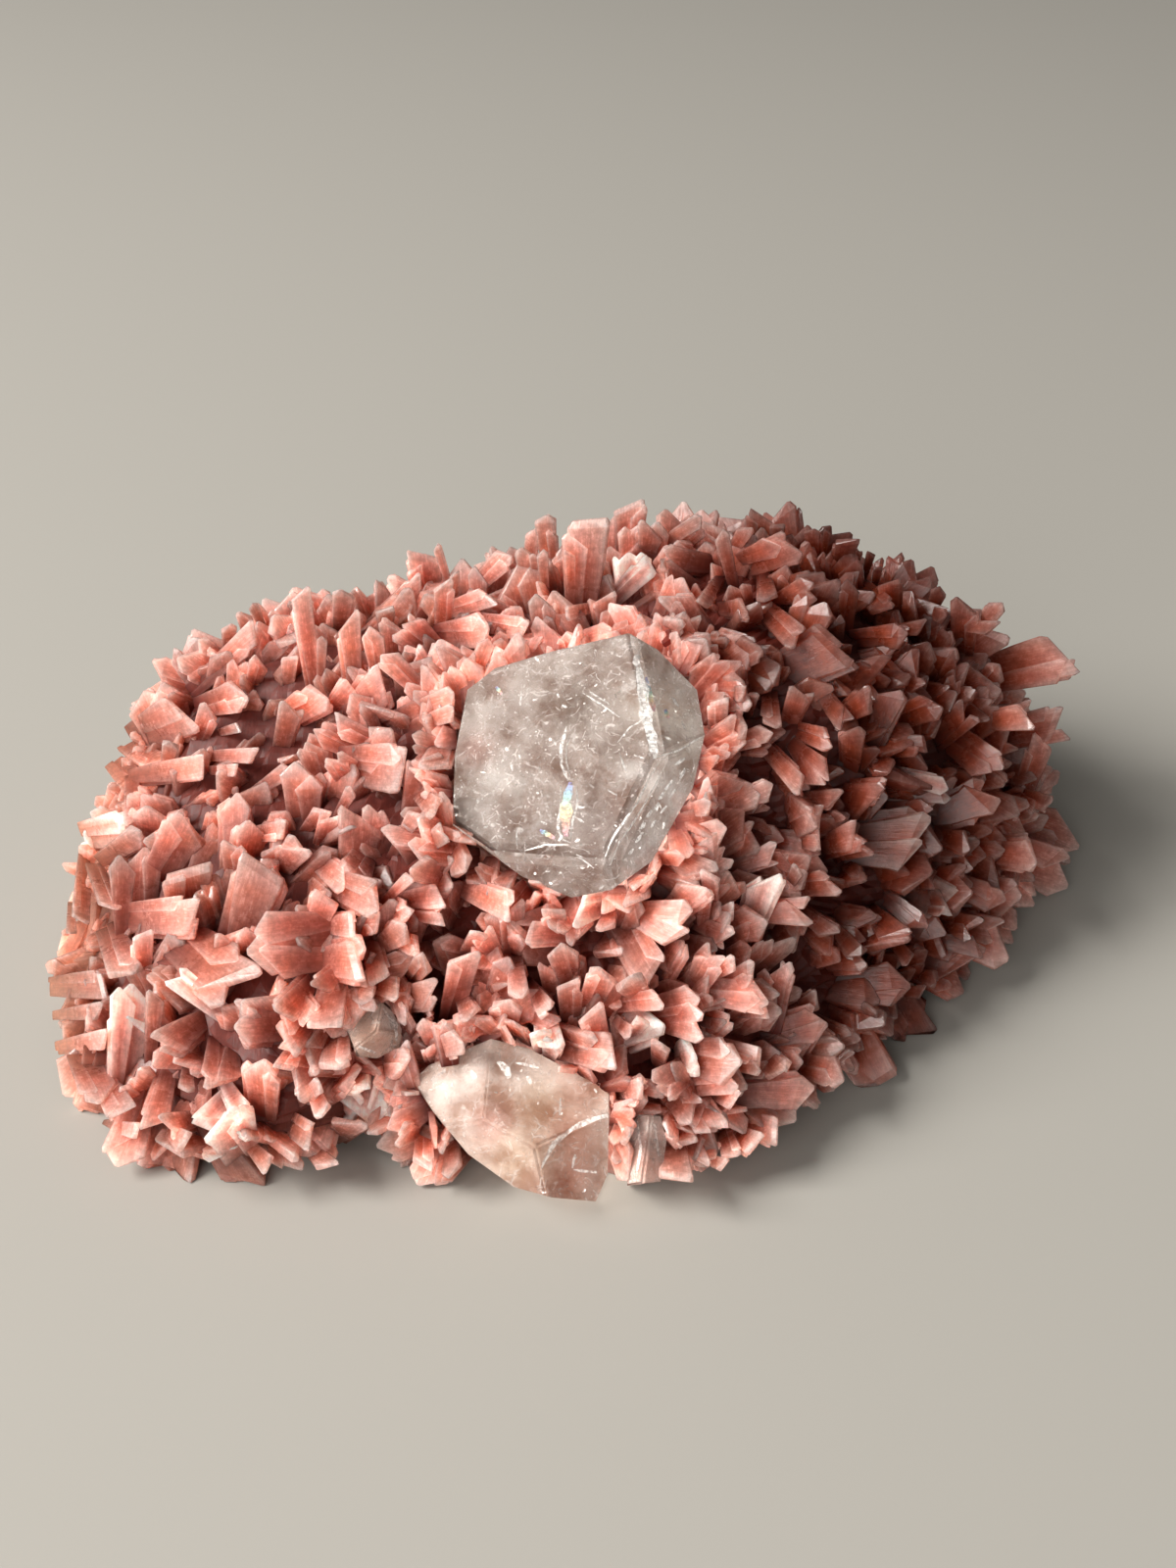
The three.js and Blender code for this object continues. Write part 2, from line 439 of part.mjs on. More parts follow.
function bladesAt(root, tip, width, end, facing) {
  if (end !== FAN) {
    return [blade(root, tip, width, end, facing)];
  }
  const along = tip.clone().sub(root);
  const through = along.clone().cross(facing).cross(along).normalize();
  return [-1, 1].map((side) => {
    const splayed = along.clone().applyAxisAngle(through, side * FAN_SPLAY).add(root);
    return blade(root, splayed, width * FAN_WIDTH, SPEAR, facing);
  });
}

function seenBlades() {
  const roots = [];
  const solids = [];
  SEEN_BLADES.forEach(([rootAcross, rootUp, tipAcross, tipUp, width, end], index) => {
    const root = rootOnMass(rootAcross, rootUp);
    const line = sightLine(tipAcross, tipUp);
    const behind = distanceToMass(line) ?? root.distance;
    const lift = THREE.MathUtils.lerp(TIP_LIFT.least, TIP_LIFT.most, scatter(index + LIFT_SEED));
    const nearest = root.distance - TIP_REACH.front;
    const reach = THREE.MathUtils.clamp(behind, nearest, root.distance + TIP_REACH.back);
    const tip = EYE.clone().addScaledVector(line, reach - lift);
    const facing = line.clone().negate();
    facing.x += FACE_TURN * (scatter(index + TURN_SEED) - 0.5);
    roots.push(root.place);
    solids.push(...bladesAt(root.place, tip, width, end, facing));
  });
  return { roots, solids };
}

// Whether a place lies behind the outline of a clear crystal, taken as a circle around it
function isOverCrystal(place, crystals) {
  const reach = place.clone().sub(EYE);
  const scale = SHEET_DISTANCE / reach.dot(FORWARD);
  const spot = new THREE.Vector2(reach.dot(SHEET_RIGHT) * scale, reach.dot(SHEET_UP) * scale);
  return crystals.some(({ outline }) => {
    const corners = outline.map(([across, up]) => new THREE.Vector2(across, up));
    const middle = corners.reduce((sum, corner) => sum.add(corner), new THREE.Vector2());
    middle.divideScalar(corners.length);
    const radius = Math.max(...corners.map((corner) => corner.distanceTo(middle)));
    return spot.distanceTo(middle) < radius;
  });
}

// Blades all over the rest of the top, standing off the surface and leaning at random
function grownBlades(roots, crystals) {
  const grown = [];
  for (let attempt = 0; attempt < GROWTH.tries; attempt += 1) {
    const pick = (slot) => scatter(GROWTH.seed + attempt * 10 + slot);
    const angle = pick(0) * 2 * Math.PI;
    const onWall = pick(1) < GROWTH.wallShare;
    const share = onWall ? 1 - GROWTH.wallBand * pick(2) ** 2 : Math.sqrt(pick(2));
    const radius = share * seatedRadius(angle) * GROWTH.rimInset;
    const x = MASS_CENTRE.x + radius * Math.cos(angle);
    const y = MASS_CENTRE.y + radius * Math.sin(angle);
    const root = new THREE.Vector3(x, y, massTop(x, y));
    const crowded = roots.some((other) => other.distanceTo(root) < GROWTH.clear)
      || grown.some((other) => other.root.distanceTo(root) < GROWTH.spacing);
    if (crowded || isOverCrystal(root, crystals)) {
      continue;
    }
    const lean = new THREE.Vector3(pick(3) - 0.5, pick(4) - 0.5, pick(5) - 0.5);
    const along = topNormal(x, y).addScaledVector(lean, GROWTH.tilt).normalize();
    const facing = new THREE.Vector3(pick(6) - 0.5, pick(7) - 0.5, pick(8) - 0.5);
    const size = THREE.MathUtils.lerp(GROWTH.smallest, GROWTH.largest, pick(9));
    const tip = root.clone().addScaledVector(along, GROWTH.length * size);
    const end = pick(8) < GROWTH.flatShare ? FLAT : SPEAR;
    grown.push({ root, tip, width: GROWTH.width * size, end, facing });
  }
  return grown.flatMap(({ root, tip, width, end, facing }) => bladesAt(root, tip, width, end, facing));
}

// Half-space of a face, kept on the side away from the eye
function trimToFace(solid, seatDistance, face) {
  const [first, second, third] = face.map(([across, up, proud]) => (
    EYE.clone().addScaledVector(sightLine(across, up), seatDistance - proud)
  ));
  const normal = second.sub(first).cross(third.sub(first)).normalize();
  if (normal.dot(FORWARD) < 0) {
    normal.negate();
  }
  return solid.trimByPlane(normal.toArray(), normal.dot(first));
}

function clearCrystal({ seat, proud, buried, outline, faces }, growth = 0) {
  const seatDistance = distanceToMass(sightLine(...seat));
  const ends = [-proud - growth, buried + growth].flatMap((depth) => outline.map(([across, up]) => (
    EYE.clone().addScaledVector(sightLine(across, up), seatDistance + depth)
  )));
  let solid = wasm.Manifold.hull(ends.map((place) => place.toArray()));
  for (const face of faces) {
    solid = trimToFace(solid, seatDistance, face);
  }
  if (growth === 0) {
    return solid.trimByPlane([0, 0, 1], CRYSTAL_CLEARANCE);
  }
  return solid.minkowskiSum(wasm.Manifold.cube([2 * growth, 2 * growth, 2 * growth], true));
}

function largestPiece(solid) {
  const pieces = solid.decompose();
  pieces.sort((one, other) => other.volume() - one.volume());
  return pieces[0];
}

function toMesh(solid, name, material) {
  const { vertProperties, triVerts } = solid.getMesh();
  const geometry = new THREE.BufferGeometry();
  geometry.setAttribute('position', new THREE.BufferAttribute(vertProperties, 3));
  geometry.setIndex(new THREE.BufferAttribute(triVerts, 1));
  geometry.computeVertexNormals();
  const mesh = new THREE.Mesh(geometry, material);
  mesh.name = name;
  return mesh;
}

const stilbite = new THREE.MeshStandardMaterial({ color: '#c98578', roughness: 0.5, metalness: 0 });
const clear = new THREE.MeshStandardMaterial({ color: '#d9d2cc', roughness: 0.08, metalness: 0 });

const clearCrystals = {
  apophyllite_large: LARGE_CRYSTAL,
  apophyllite_front: FRONT_CRYSTAL,
  apophyllite_side: SIDE_CRYSTAL,
  apophyllite_small: SMALL_CRYSTAL,
};

const seen = seenBlades();
const grown = grownBlades(seen.roots, Object.values(clearCrystals));
const joined = wasm.Manifold.union([bareMass(), ...seen.solids, ...grown]);
const seats = Object.values(clearCrystals).map((crystal) => clearCrystal(crystal, SEAT_GAP));
const matrix = largestPiece(joined.subtract(wasm.Manifold.union(seats)).simplify(SMALLEST_DETAIL));

const cluster = new THREE.Group();
cluster.name = 'apophyllite_cluster';
cluster.add(toMesh(matrix.trimByPlane([0, 0, 1], 0), 'stilbite_matrix', stilbite));
for (const [name, crystal] of Object.entries(clearCrystals)) {
  cluster.add(toMesh(clearCrystal(crystal), name, clear));
}

export default cluster;
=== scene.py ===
# Apophyllite cluster: clear blocky crystals seated in a mass of salmon-pink stilbite blades.
# The looks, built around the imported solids. Blender works in metres; places on the cluster are
# kept in millimetres, with the frame's axes.

import bmesh
import bpy
import numpy as np
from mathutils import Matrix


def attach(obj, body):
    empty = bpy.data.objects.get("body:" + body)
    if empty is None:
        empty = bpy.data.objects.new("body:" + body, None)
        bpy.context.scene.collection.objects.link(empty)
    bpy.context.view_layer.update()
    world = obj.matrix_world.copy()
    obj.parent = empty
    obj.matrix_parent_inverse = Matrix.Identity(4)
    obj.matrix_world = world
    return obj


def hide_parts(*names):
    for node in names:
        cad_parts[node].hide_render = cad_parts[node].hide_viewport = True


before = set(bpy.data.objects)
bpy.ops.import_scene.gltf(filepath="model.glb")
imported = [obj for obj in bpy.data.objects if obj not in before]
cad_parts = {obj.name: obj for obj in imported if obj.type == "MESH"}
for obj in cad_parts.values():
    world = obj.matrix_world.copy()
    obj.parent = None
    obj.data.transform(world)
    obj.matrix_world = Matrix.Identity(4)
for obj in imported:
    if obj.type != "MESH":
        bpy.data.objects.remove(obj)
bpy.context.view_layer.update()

# The bed of the stilbite mass
# The crust that the blades stand on: broken, deep red-brown stilbite, domed towards the front and
# steep at the far side, with a flat broken underside and a seat cut for each clear crystal.
MM = 0.001
CREST_HEIGHT = 36.0
RIM_HEIGHT = 5.0
BASE_RINGS = [(0.992, 0.7), (0.97, 0.45), (0.94, 0.25), (0.9, 0.08), (0.86, 0.0)]
DOME_RINGS = 64
RING_CROWDING = 1.6
MASS_CENTRE = np.array([0.0, -2.0])
OUTLINE_RADII = [
    45.5, 53.5, 57.0, 51.0, 43.0, 38.0, 36.0, 35.5, 38.0, 43.5, 54.5, 60.0,
    60.0, 60.0, 60.5, 55.5, 44.0, 38.5, 38.8, 38.2, 36.0, 34.6, 36.0, 40.0,
]
NOTCH = {"angle": np.radians(237), "half_width": 0.13, "depth": 6.5}
CREST_ACROSS = [-60, -50, -38, -24, -10, 8, 22, 36, 46, 58]
CREST_SHARES = [0.78, 0.87, 0.92, 0.87, 0.97, 1.04, 1.04, 0.95, 0.86, 0.7]
CREST_BACK_RISE = 0.05
FRONT_ROUNDNESS = 1.65
WALL_ROUNDNESS = 6.0
DOME_POWER = 0.85
WALL_TURN = (-0.5, 0.35)
HOLLOWS = [(-36, -2, 10, 6), (19, -8, 8, 3), (20, -24, 4, 4), (38.6, 24, 3.5, 3)]
HOLLOW_FALLOFF = 1.4
OUTLINE_SHARE = 1.0001
SLOPE_STEP = 0.4
FAR_OFF = 3.0
BED_SINK = 3.0
BED_ROUGHNESS = 0.35
BED_LUMP = 0.7
BED_SPOKES = 220
BED_SEED = 11
SINK_UPWARD = 0.6
SEAT_GROWTH = 0.35
SEAT_RIM = (-1.6, -0.5)
CLEAR_NODES = ["apophyllite_large", "apophyllite_front", "apophyllite_side", "apophyllite_small"]


def seated_radius(angle):
    """Radius of the mass, without its crystals, towards an angle from +X."""
    count = len(OUTLINE_RADII)
    turns = np.mod(angle, 2 * np.pi) / (2 * np.pi) * count
    radius = np.interp(turns, np.arange(count + 1), OUTLINE_RADII + OUTLINE_RADII[:1])
    away = np.abs(np.mod(angle, 2 * np.pi) - NOTCH["angle"])
    return radius - NOTCH["depth"] * np.maximum(0, 1 - away / NOTCH["half_width"])


def smooth(value, low, high):
    """Smooth step from 0 to 1 between low and high."""
    share = np.clip((value - low) / (high - low), 0, 1)
    return share * share * (3 - 2 * share)


def mass_top(x, y):
    """Height of the mass at (x, y), and NaN outside its outline."""
    across = x - MASS_CENTRE[0]
    away = y - MASS_CENTRE[1]
    angle = np.arctan2(away, across)
    share = np.hypot(across, away) / seated_radius(angle)
    wall = smooth(np.sin(angle), *WALL_TURN)
    roundness = FRONT_ROUNDNESS + (WALL_ROUNDNESS - FRONT_ROUNDNESS) * wall
    crest = CREST_HEIGHT * np.interp(x, CREST_ACROSS, CREST_SHARES) + CREST_BACK_RISE * away
    dome = (1 - np.minimum(share, 1) ** roundness) ** DOME_POWER
    height = RIM_HEIGHT + (crest - RIM_HEIGHT) * dome
    for hollow_x, hollow_y, radius, depth in HOLLOWS:
        near = np.hypot(x - hollow_x, y - hollow_y) / radius
        height = height - depth * np.exp(-near * near * HOLLOW_FALLOFF)
    return np.where(share > OUTLINE_SHARE, np.nan, np.maximum(height, RIM_HEIGHT))


def stand_off(points):
    """Roughly how far each point stands off the mass, in millimetres."""
    x = points[:, 0]
    y = points[:, 1]
    top = mass_top(x, y)
    step = SLOPE_STEP
    slope_x = (mass_top(x + step, y) - mass_top(x - step, y)) / (2 * step)
    slope_y = (mass_top(x, y + step) - mass_top(x, y - step)) / (2 * step)
    steep = np.sqrt(1 + slope_x ** 2 + slope_y ** 2)
    return np.nan_to_num((points[:, 2] - top) / steep, nan=FAR_OFF)


def dome_grid(spokes):
    """Points and triangles of the whole outside of the mass, from the crest to the rim and down."""
    steps = np.linspace(0, 1, DOME_RINGS)[1:]
    shares = 1 - (1 - steps) ** RING_CROWDING
    angles = np.arange(spokes) * 2 * np.pi / spokes
    rings = []
    for share, lift in [(share, None) for share in shares] + BASE_RINGS:
        radius = seated_radius(angles) * share
        x = MASS_CENTRE[0] + radius * np.cos(angles)
        y = MASS_CENTRE[1] + radius * np.sin(angles)
        z = mass_top(x, y) if lift is None else np.full(spokes, RIM_HEIGHT * lift)
        rings.append(np.stack([x, y, z], 1))
    crest = [[*MASS_CENTRE, float(mass_top(*MASS_CENTRE))]]
    points = np.concatenate([np.array(crest), *rings])
    spoke = np.arange(spokes)
    beside = (spoke + 1) % spokes
    triangles = [np.stack([np.zeros(spokes, int), 1 + spoke, 1 + beside], 1)]
    for ring in range(len(rings) - 1):
        inner = 1 + ring * spokes
        outer = inner + spokes
        triangles.append(np.stack([inner + spoke, outer + spoke, outer + beside], 1))
        triangles.append(np.stack([inner + spoke, outer + beside, inner + beside], 1))
    return points, np.concatenate(triangles)


def in_scene(name, data):
    """A new object in the scene, which shows this mesh, light or camera."""
    holder = bpy.data.objects.new(name, data)
    bpy.context.scene.collection.objects.link(holder)
    return holder


def new_piece(name, points, faces, material):
    """A mesh object from millimetre points, which rides on the root body."""
    mesh = bpy.data.meshes.new(name)
    mesh.from_pydata((np.asarray(points) * MM).tolist(), [], faces)
    mesh.validate()
    piece = in_scene(name, mesh)
    mesh.materials.append(material)
    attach(piece, "root")
    return piece


def tone_of(code):
    """Linear colour of a written sRGB colour."""
    channels = np.array([int(code[place:place + 2], 16) for place in (1, 3, 5)]) / 255
    linear = np.where(channels < 0.04045, channels / 12.92, ((channels + 0.055) / 1.055) ** 2.4)
    return (*linear, 1.0)


def feed(tree, node, inputs):
    """Inputs of a node, each linked to a socket or set to a value."""
    for key, value in inputs.items():
        if isinstance(value, bpy.types.NodeSocket):
            tree.links.new(value, node.inputs[key])
        else:
            node.inputs[key].default_value = value


def put(tree, kind, inputs=None, **settings):
    """A new node with its settings and inputs."""
    node = tree.nodes.new(kind)
    for key, value in settings.items():
        setattr(node, key, value)
    feed(tree, node, inputs or {})
    return node


def calc(tree, operation, first, second=0.0, clamp=False):
    settings = {"operation": operation, "use_clamp": clamp}
    return put(tree, "ShaderNodeMath", {0: first, 1: second}, **settings).outputs[0]


def times(tree, first, second):
    return calc(tree, "MULTIPLY", first, second)


def spread(tree, value, low, high, new_low=0.0, new_high=1.0):
    inputs = {"Value": value, "From Min": low, "From Max": high, "To Min": new_low, "To Max": new_high}
    return put(tree, "ShaderNodeMapRange", inputs).outputs["Result"]


def blend_colors(tree, factor, first, second, way="MIX"):
    settings = {"data_type": "RGBA", "blend_type": way}
    return put(tree, "ShaderNodeMix", {0: factor, 6: first, 7: second}, **settings).outputs[2]


def mix_shaders(tree, share, first, second):
    """The first shader node, with a share of the second one."""
    return put(tree, "ShaderNodeMixShader", {0: share, 1: first.outputs[0], 2: second.outputs[0]})


def noise(tree, place, scale, detail=3.0, roughness=0.55):
    inputs = {"Vector": place, "Scale": scale, "Detail": detail, "Roughness": roughness}
    return put(tree, "ShaderNodeTexNoise", inputs).outputs["Fac"]


def new_material(name):
    """A material, its node tree and its main shader."""
    material = bpy.data.materials.new(name)
    material.use_nodes = True
    return material, material.node_tree, material.node_tree.nodes["Principled BSDF"]


def new_group(name, wanted, given):
    """A shader node group, its input sockets and its output node."""
    group = bpy.data.node_groups.new(name, "ShaderNodeTree")
    for way, sockets in (("INPUT", wanted), ("OUTPUT", given)):
        for key, kind in sockets.items():
            group.interface.new_socket(key, in_out=way, socket_type="NodeSocket" + kind)
    source = group.nodes.new("NodeGroupInput")
    return group, source.outputs, group.nodes.new("NodeGroupOutput")


# Stilbite tones, partly painted light: the root tone is partly painted crevice shade, the tip and edge tones
# partly painted glow and sheen, the peach partly painted glow and the red-brown partly painted shade
ROOT_AND_CREVICE_SHADE_TONE = tone_of("#641f18")
MIDDLE_TONE = tone_of("#d58879")
TIP_AND_GLOW_TONE = tone_of("#edc1b7")
EDGE_GLOW_AND_SHEEN_TONE = tone_of("#fbe8e1")
ORANGE_TONE = tone_of("#d8805c")
PEACH_AND_GLOW_TONE = tone_of("#f2b598")
RED_BROWN_AND_SHADE_TONE = tone_of("#a65a52")
STILBITE_IOR = 1.5
STILBITE_RELIEF = {"Strength": 0.6, "Distance": 0.00012}
GLOW_REACH = {"Subsurface Radius": (1.0, 0.6, 0.5), "Subsurface Scale": 0.0028}
# Where the peach lies (partly painted glow), where the red-brown lies (partly painted shade), and the patch
# of painted shade beside the large crystal, in millimetres
PEACH_GLOW_ACROSS = (48, 60)
PEACH_GLOW_LOW = (-9, -1)
RED_BROWN_SHADE_ACROSS = (6, 30)
RED_BROWN_SHADE_FADE = (34, 50)
SHADED_PLACE = (17.0, -1.0)
SHADED_REACH = (6.0, 11.0)
SHADED_SHARE = 0.8

# How stilbite is coloured: deep red at the root, salmon along the blade, pale at its tip and edges,
# with clouds and lengthwise lines inside it, peach where it is thin and red-brown in the right
# third. Painted light is in it too: the deep red root is partly painted shade in the crevices, the
# pale tip and edges are partly painted glow of light through them, the whitish streaks are partly
# painted sheen, the peach is partly painted glow and the red-brown is partly painted shade
stilbite_color, wanted, given = new_group(
    "stilbite colour",
    {"Along": "Float", "Edge": "Float", "Tone": "Float", "Region": "Float", "Place": "Vector"},
    {"Color": "Color", "Roughness": "Float", "Height": "Float"},
)
tree = stilbite_color
where = put(tree, "ShaderNodeTexCoord").outputs["Object"]
# Deep red root to pale tip: partly the blade's own colour, partly painted shade at the root and painted glow
# at the thin tip
ramp = put(tree, "ShaderNodeValToRGB", {"Fac": wanted["Along"]})
ramp.color_ramp.elements[0].color = ROOT_AND_CREVICE_SHADE_TONE
ramp.color_ramp.elements[1].color = TIP_AND_GLOW_TONE
ramp.color_ramp.elements[1].position = 1.0
middle = ramp.color_ramp.elements.new(0.5)
middle.color = MIDDLE_TONE
patches = spread(tree, noise(tree, where, 110.0, 2.0), 0.42, 0.68)
# The red-brown right third, partly its own colour and partly painted shade: darker, redder and richer there,
# with less pale glow and sheen
red_brown_and_shade = spread(tree, wanted["Region"], 0.5, 1.0, 0.0, 0.8)
orange = times(tree, patches, spread(tree, wanted["Along"], 0.1, 0.5, 0.0, 0.35))
orange = times(tree, orange, spread(tree, red_brown_and_shade, 0.0, 0.8, 1.0, 0.3))
color = blend_colors(tree, orange, ramp.outputs["Color"], ORANGE_TONE)
color = blend_colors(tree, times(tree, red_brown_and_shade, wanted["Along"]), color, RED_BROWN_AND_SHADE_TONE)
shade = times(tree, red_brown_and_shade, spread(tree, wanted["Along"], 0.35, 1.0, 0.82, 0.72))
shade = calc(tree, "SUBTRACT", 1.0, shade)
# Peach where it is thin, on the left rim and low down: partly its own colour, partly painted glow of light
# through it
peach_and_glow = spread(tree, wanted["Region"], 0.5, 0.0, 0.0, 0.6)
color = blend_colors(tree, peach_and_glow, color, PEACH_AND_GLOW_TONE)
# Pale edges: painted glow of light through the thin edges of the blades
rim = times(tree, calc(tree, "POWER", wanted["Edge"], 2.5), wanted["Along"])
rim = times(tree, rim, spread(tree, red_brown_and_shade, 0.0, 0.8, 0.6, 0.2))
color = blend_colors(tree, rim, color, EDGE_GLOW_AND_SHEEN_TONE)
clouds = noise(tree, where, 1300.0, 6.0, 0.72)
grain = {"Vector": wanted["Place"], "Scale": (5.0, 0.5, 1.0)}
grain = put(tree, "ShaderNodeMapping", grain, vector_type="POINT")
lines = noise(tree, grain.outputs["Vector"], 1.0, 3.0, 0.6)
# Whitish streaks along the blades, partly their own streaks and partly painted pearly sheen
streaks_and_sheen = times(tree, spread(tree, lines, 0.48, 0.66, 0.0, 0.36), spread(tree, clouds, 0.45, 0.6))
streaks_and_sheen = times(tree, streaks_and_sheen, spread(tree, red_brown_and_shade, 0.0, 0.8, 1.0, 0.3))
color = blend_colors(tree, times(tree, streaks_and_sheen, wanted["Along"]), color, EDGE_GLOW_AND_SHEEN_TONE)
value = times(tree, spread(tree, wanted["Tone"], 0.0, 1.0, 0.7, 1.22), shade)
value = times(tree, value, spread(tree, clouds, 0.36, 0.64, 0.78, 1.16))
value = times(tree, value, spread(tree, lines, 0.32, 0.68, 0.88, 1.08))
richness = spread(tree, red_brown_and_shade, 0.0, 0.8, 1.06, 1.26)
paint = put(tree, "ShaderNodeHueSaturation", {"Color": color, "Value": value, "Saturation": richness})
dull = spread(tree, wanted["Along"], 0.0, 0.35, 0.45, 0.0)
dull = calc(tree, "ADD", spread(tree, clouds, 0.35, 0.7, 0.07, 0.3), dull)
relief = calc(tree, "ADD", times(tree, lines, 0.6), times(tree, clouds, 0.4))
feed(tree, given, {"Color": paint.outputs["Color"], "Roughness": dull, "Height": relief})


def stilbite_material(name, translucency, clearness):
    """A material that reads a blade's own shares and places from its mesh."""
    material, tree, shader = new_material(name)
    look = put(tree, "ShaderNodeAttribute", attribute_name="look")
    shares = put(tree, "ShaderNodeSeparateColor", {"Color": look.outputs["Color"]}).outputs
    place = put(tree, "ShaderNodeAttribute", attribute_name="place").outputs["Vector"]
    read = {"Along": shares["Red"], "Edge": shares["Green"], "Tone": shares["Blue"],
            "Region": look.outputs["Alpha"], "Place": place}
    paint = put(tree, "ShaderNodeGroup", read, node_tree=stilbite_color).outputs
    bump = put(tree, "ShaderNodeBump", {"Height": paint["Height"], **STILBITE_RELIEF})
    shader.subsurface_method = "BURLEY"
    feed(tree, shader, {
        "Base Color": paint["Color"], "Roughness": paint["Roughness"], "Normal": bump.outputs["Normal"],
        "IOR": STILBITE_IOR, "Subsurface Weight": translucency, **GLOW_REACH,
    })
    glow = put(tree, "ShaderNodeBsdfTranslucent", {"Color": paint["Color"]})
    lit_through = mix_shaders(tree, clearness, shader, glow)
    feed(tree, tree.nodes["Material Output"], {"Surface": lit_through.outputs[0]})
    return material


def region_of(points):
    """0 at the peach rim on the left, 0.5 in the salmon middle, and 1 in the red-brown right third.

    The peach is partly painted glow of light through the thin rim, and the darker red of the right
    third is partly painted shade. A patch to the right of the large crystal is red-brown too, and
    stands partly for shadow: painted shade.
    """
    x, y, z = points.T
    # Peach on the left rim and low down, partly painted glow of light through the thin crust
    peach_and_glow = smooth(-x, *PEACH_GLOW_ACROSS) * 0.8 + smooth(-z, *PEACH_GLOW_LOW) * 0.25
    # Red-brown in the right third, partly its own colour and partly painted shade
    red_brown_and_shade = smooth(x + 0.2 * y, *RED_BROWN_SHADE_ACROSS) * (1 - 0.5 * smooth(x, *RED_BROWN_SHADE_FADE))
    # A patch of painted shadow to the right of the large crystal, where the crystal casts its shade
    across = (x - SHADED_PLACE[0]) / SHADED_REACH[0]
    back = (y - SHADED_PLACE[1]) / SHADED_REACH[1]
    red_brown_and_shade = np.maximum(red_brown_and_shade, SHADED_SHARE * np.exp(-across ** 2 - back ** 2))
    return np.clip(0.5 - 0.5 * np.minimum(peach_and_glow, 1) + 0.5 * red_brown_and_shade, 0, 1)


def store(piece, name, kind, field, values):
    """Values for a piece's points, kept on its mesh, where its material reads them."""
    attribute = piece.data.attributes.new(name, kind, "POINT")
    attribute.data.foreach_set(field, np.asarray(values, np.float32).ravel())


def give_look(piece, along, edge, tone, region, place):
    store(piece, "look", "FLOAT_COLOR", "color", np.stack([along, edge, tone, region], 1))
    store(piece, "place", "FLOAT_VECTOR", "vector", place)


# Each clear crystal is convex, so a place is inside it where it is behind all of its faces
clear_faces = []
for node in CLEAR_NODES:
    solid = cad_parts[node].data
    normals = np.array([face.normal for face in solid.polygons])
    middles = np.array([face.center for face in solid.polygons]) / MM
    clear_faces.append((normals, (normals * middles).sum(1)))


def depth_in_crystals(places):
    """How deep each place is inside a clear crystal, in millimetres; negative outside."""
    depths = [(reach - places @ normals.T).min(1) for normals, reach in clear_faces]
    return np.max(depths, axis=0)


points, triangles = dome_grid(BED_SPOKES)
random = np.random.default_rng(BED_SEED)
outward = points - np.array([*MASS_CENTRE, 0])
outward[:, 2] *= SINK_UPWARD
outward /= np.linalg.norm(outward, axis=1)[:, None] + 1e-9
lumps = np.sin(points[:, 0] * 0.9) * np.sin(points[:, 1] * 1.1 + 2) * np.sin(points[:, 2] * 1.3 + 1)
sink = BED_SINK + BED_LUMP * lumps + BED_ROUGHNESS * random.standard_normal(len(points))
bed_points = points - outward * sink[:, None]
bed_points[:, 2] = np.maximum(bed_points[:, 2], 0.0)
bed_points[-BED_SPOKES:, 2] = 0.0
underside = list(range(len(points) - 1, len(points) - 1 - BED_SPOKES, -1))
bed_material = stilbite_material("stilbite bed", 0.5, 0.0)
bed = new_piece("stilbite_bed", bed_points, triangles.tolist() + [underside], bed_material)
for node in CLEAR_NODES:
    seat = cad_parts[node].copy()
    seat.data = seat.data.copy()
    middle = np.mean([v.co for v in seat.data.vertices], 0)
    reach = np.mean([np.linalg.norm(np.array(v.co) - middle) for v in seat.data.vertices])
    for vertex in seat.data.vertices:
        vertex.co = middle + (np.array(vertex.co) - middle) * (1 + SEAT_GROWTH * MM / reach)
    seat.parent = None
    bpy.context.scene.collection.objects.link(seat)
    cut = bed.modifiers.new(node, "BOOLEAN")
    cut.operation = "DIFFERENCE"
    cut.solver = "EXACT"
    cut.object = seat
    bpy.context.view_layer.update()
    cut_bed = bed.evaluated_get(bpy.context.evaluated_depsgraph_get())
    cut_mesh = bpy.data.meshes.new_from_object(cut_bed)
    bed.modifiers.clear()
    bed.data = cut_mesh
    bpy.data.objects.remove(seat)
bed_places = np.array([v.co for v in bed.data.vertices]) / MM
# The bed is deep red, partly its own colour and partly painted shade in the crevices, and lighter salmon in
# the seats under the clear crystals, painted light for the light that comes through them
seat_share = smooth(depth_in_crystals(bed_places), *SEAT_RIM)
along, edge, tone = 0.05 + 0.8 * seat_share, 0.5 * seat_share, 0.1 + 0.6 * seat_share
give_look(bed, along, edge, tone, region_of(bed_places), bed_places)
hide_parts("stilbite_matrix")

# The stilbite blades seen from the front
# Flat translucent crystals a few millimetres long, each a bundle of slightly splayed plates with
# a spear, slanted or forked end. They are grown into the bed, and each stands roughly where it
# was read off the photo, on a sheet across the view that is marked in millimetres.
EYE = np.array([-1.5, -162.2, 136.8])
PITCH = np.radians(36)
SHEET_DISTANCE = 186.3
FORWARD = np.array([0, np.cos(PITCH), -np.sin(PITCH)])
SHEET_UP = np.array([0, np.sin(PITCH), np.cos(PITCH)])
SHEET_RIGHT = np.array([1.0, 0, 0])
SHEET_CENTRE = np.array([-3.0, -6.0])
SIGHT_STEPS = np.arange(120, 270, 0.5)
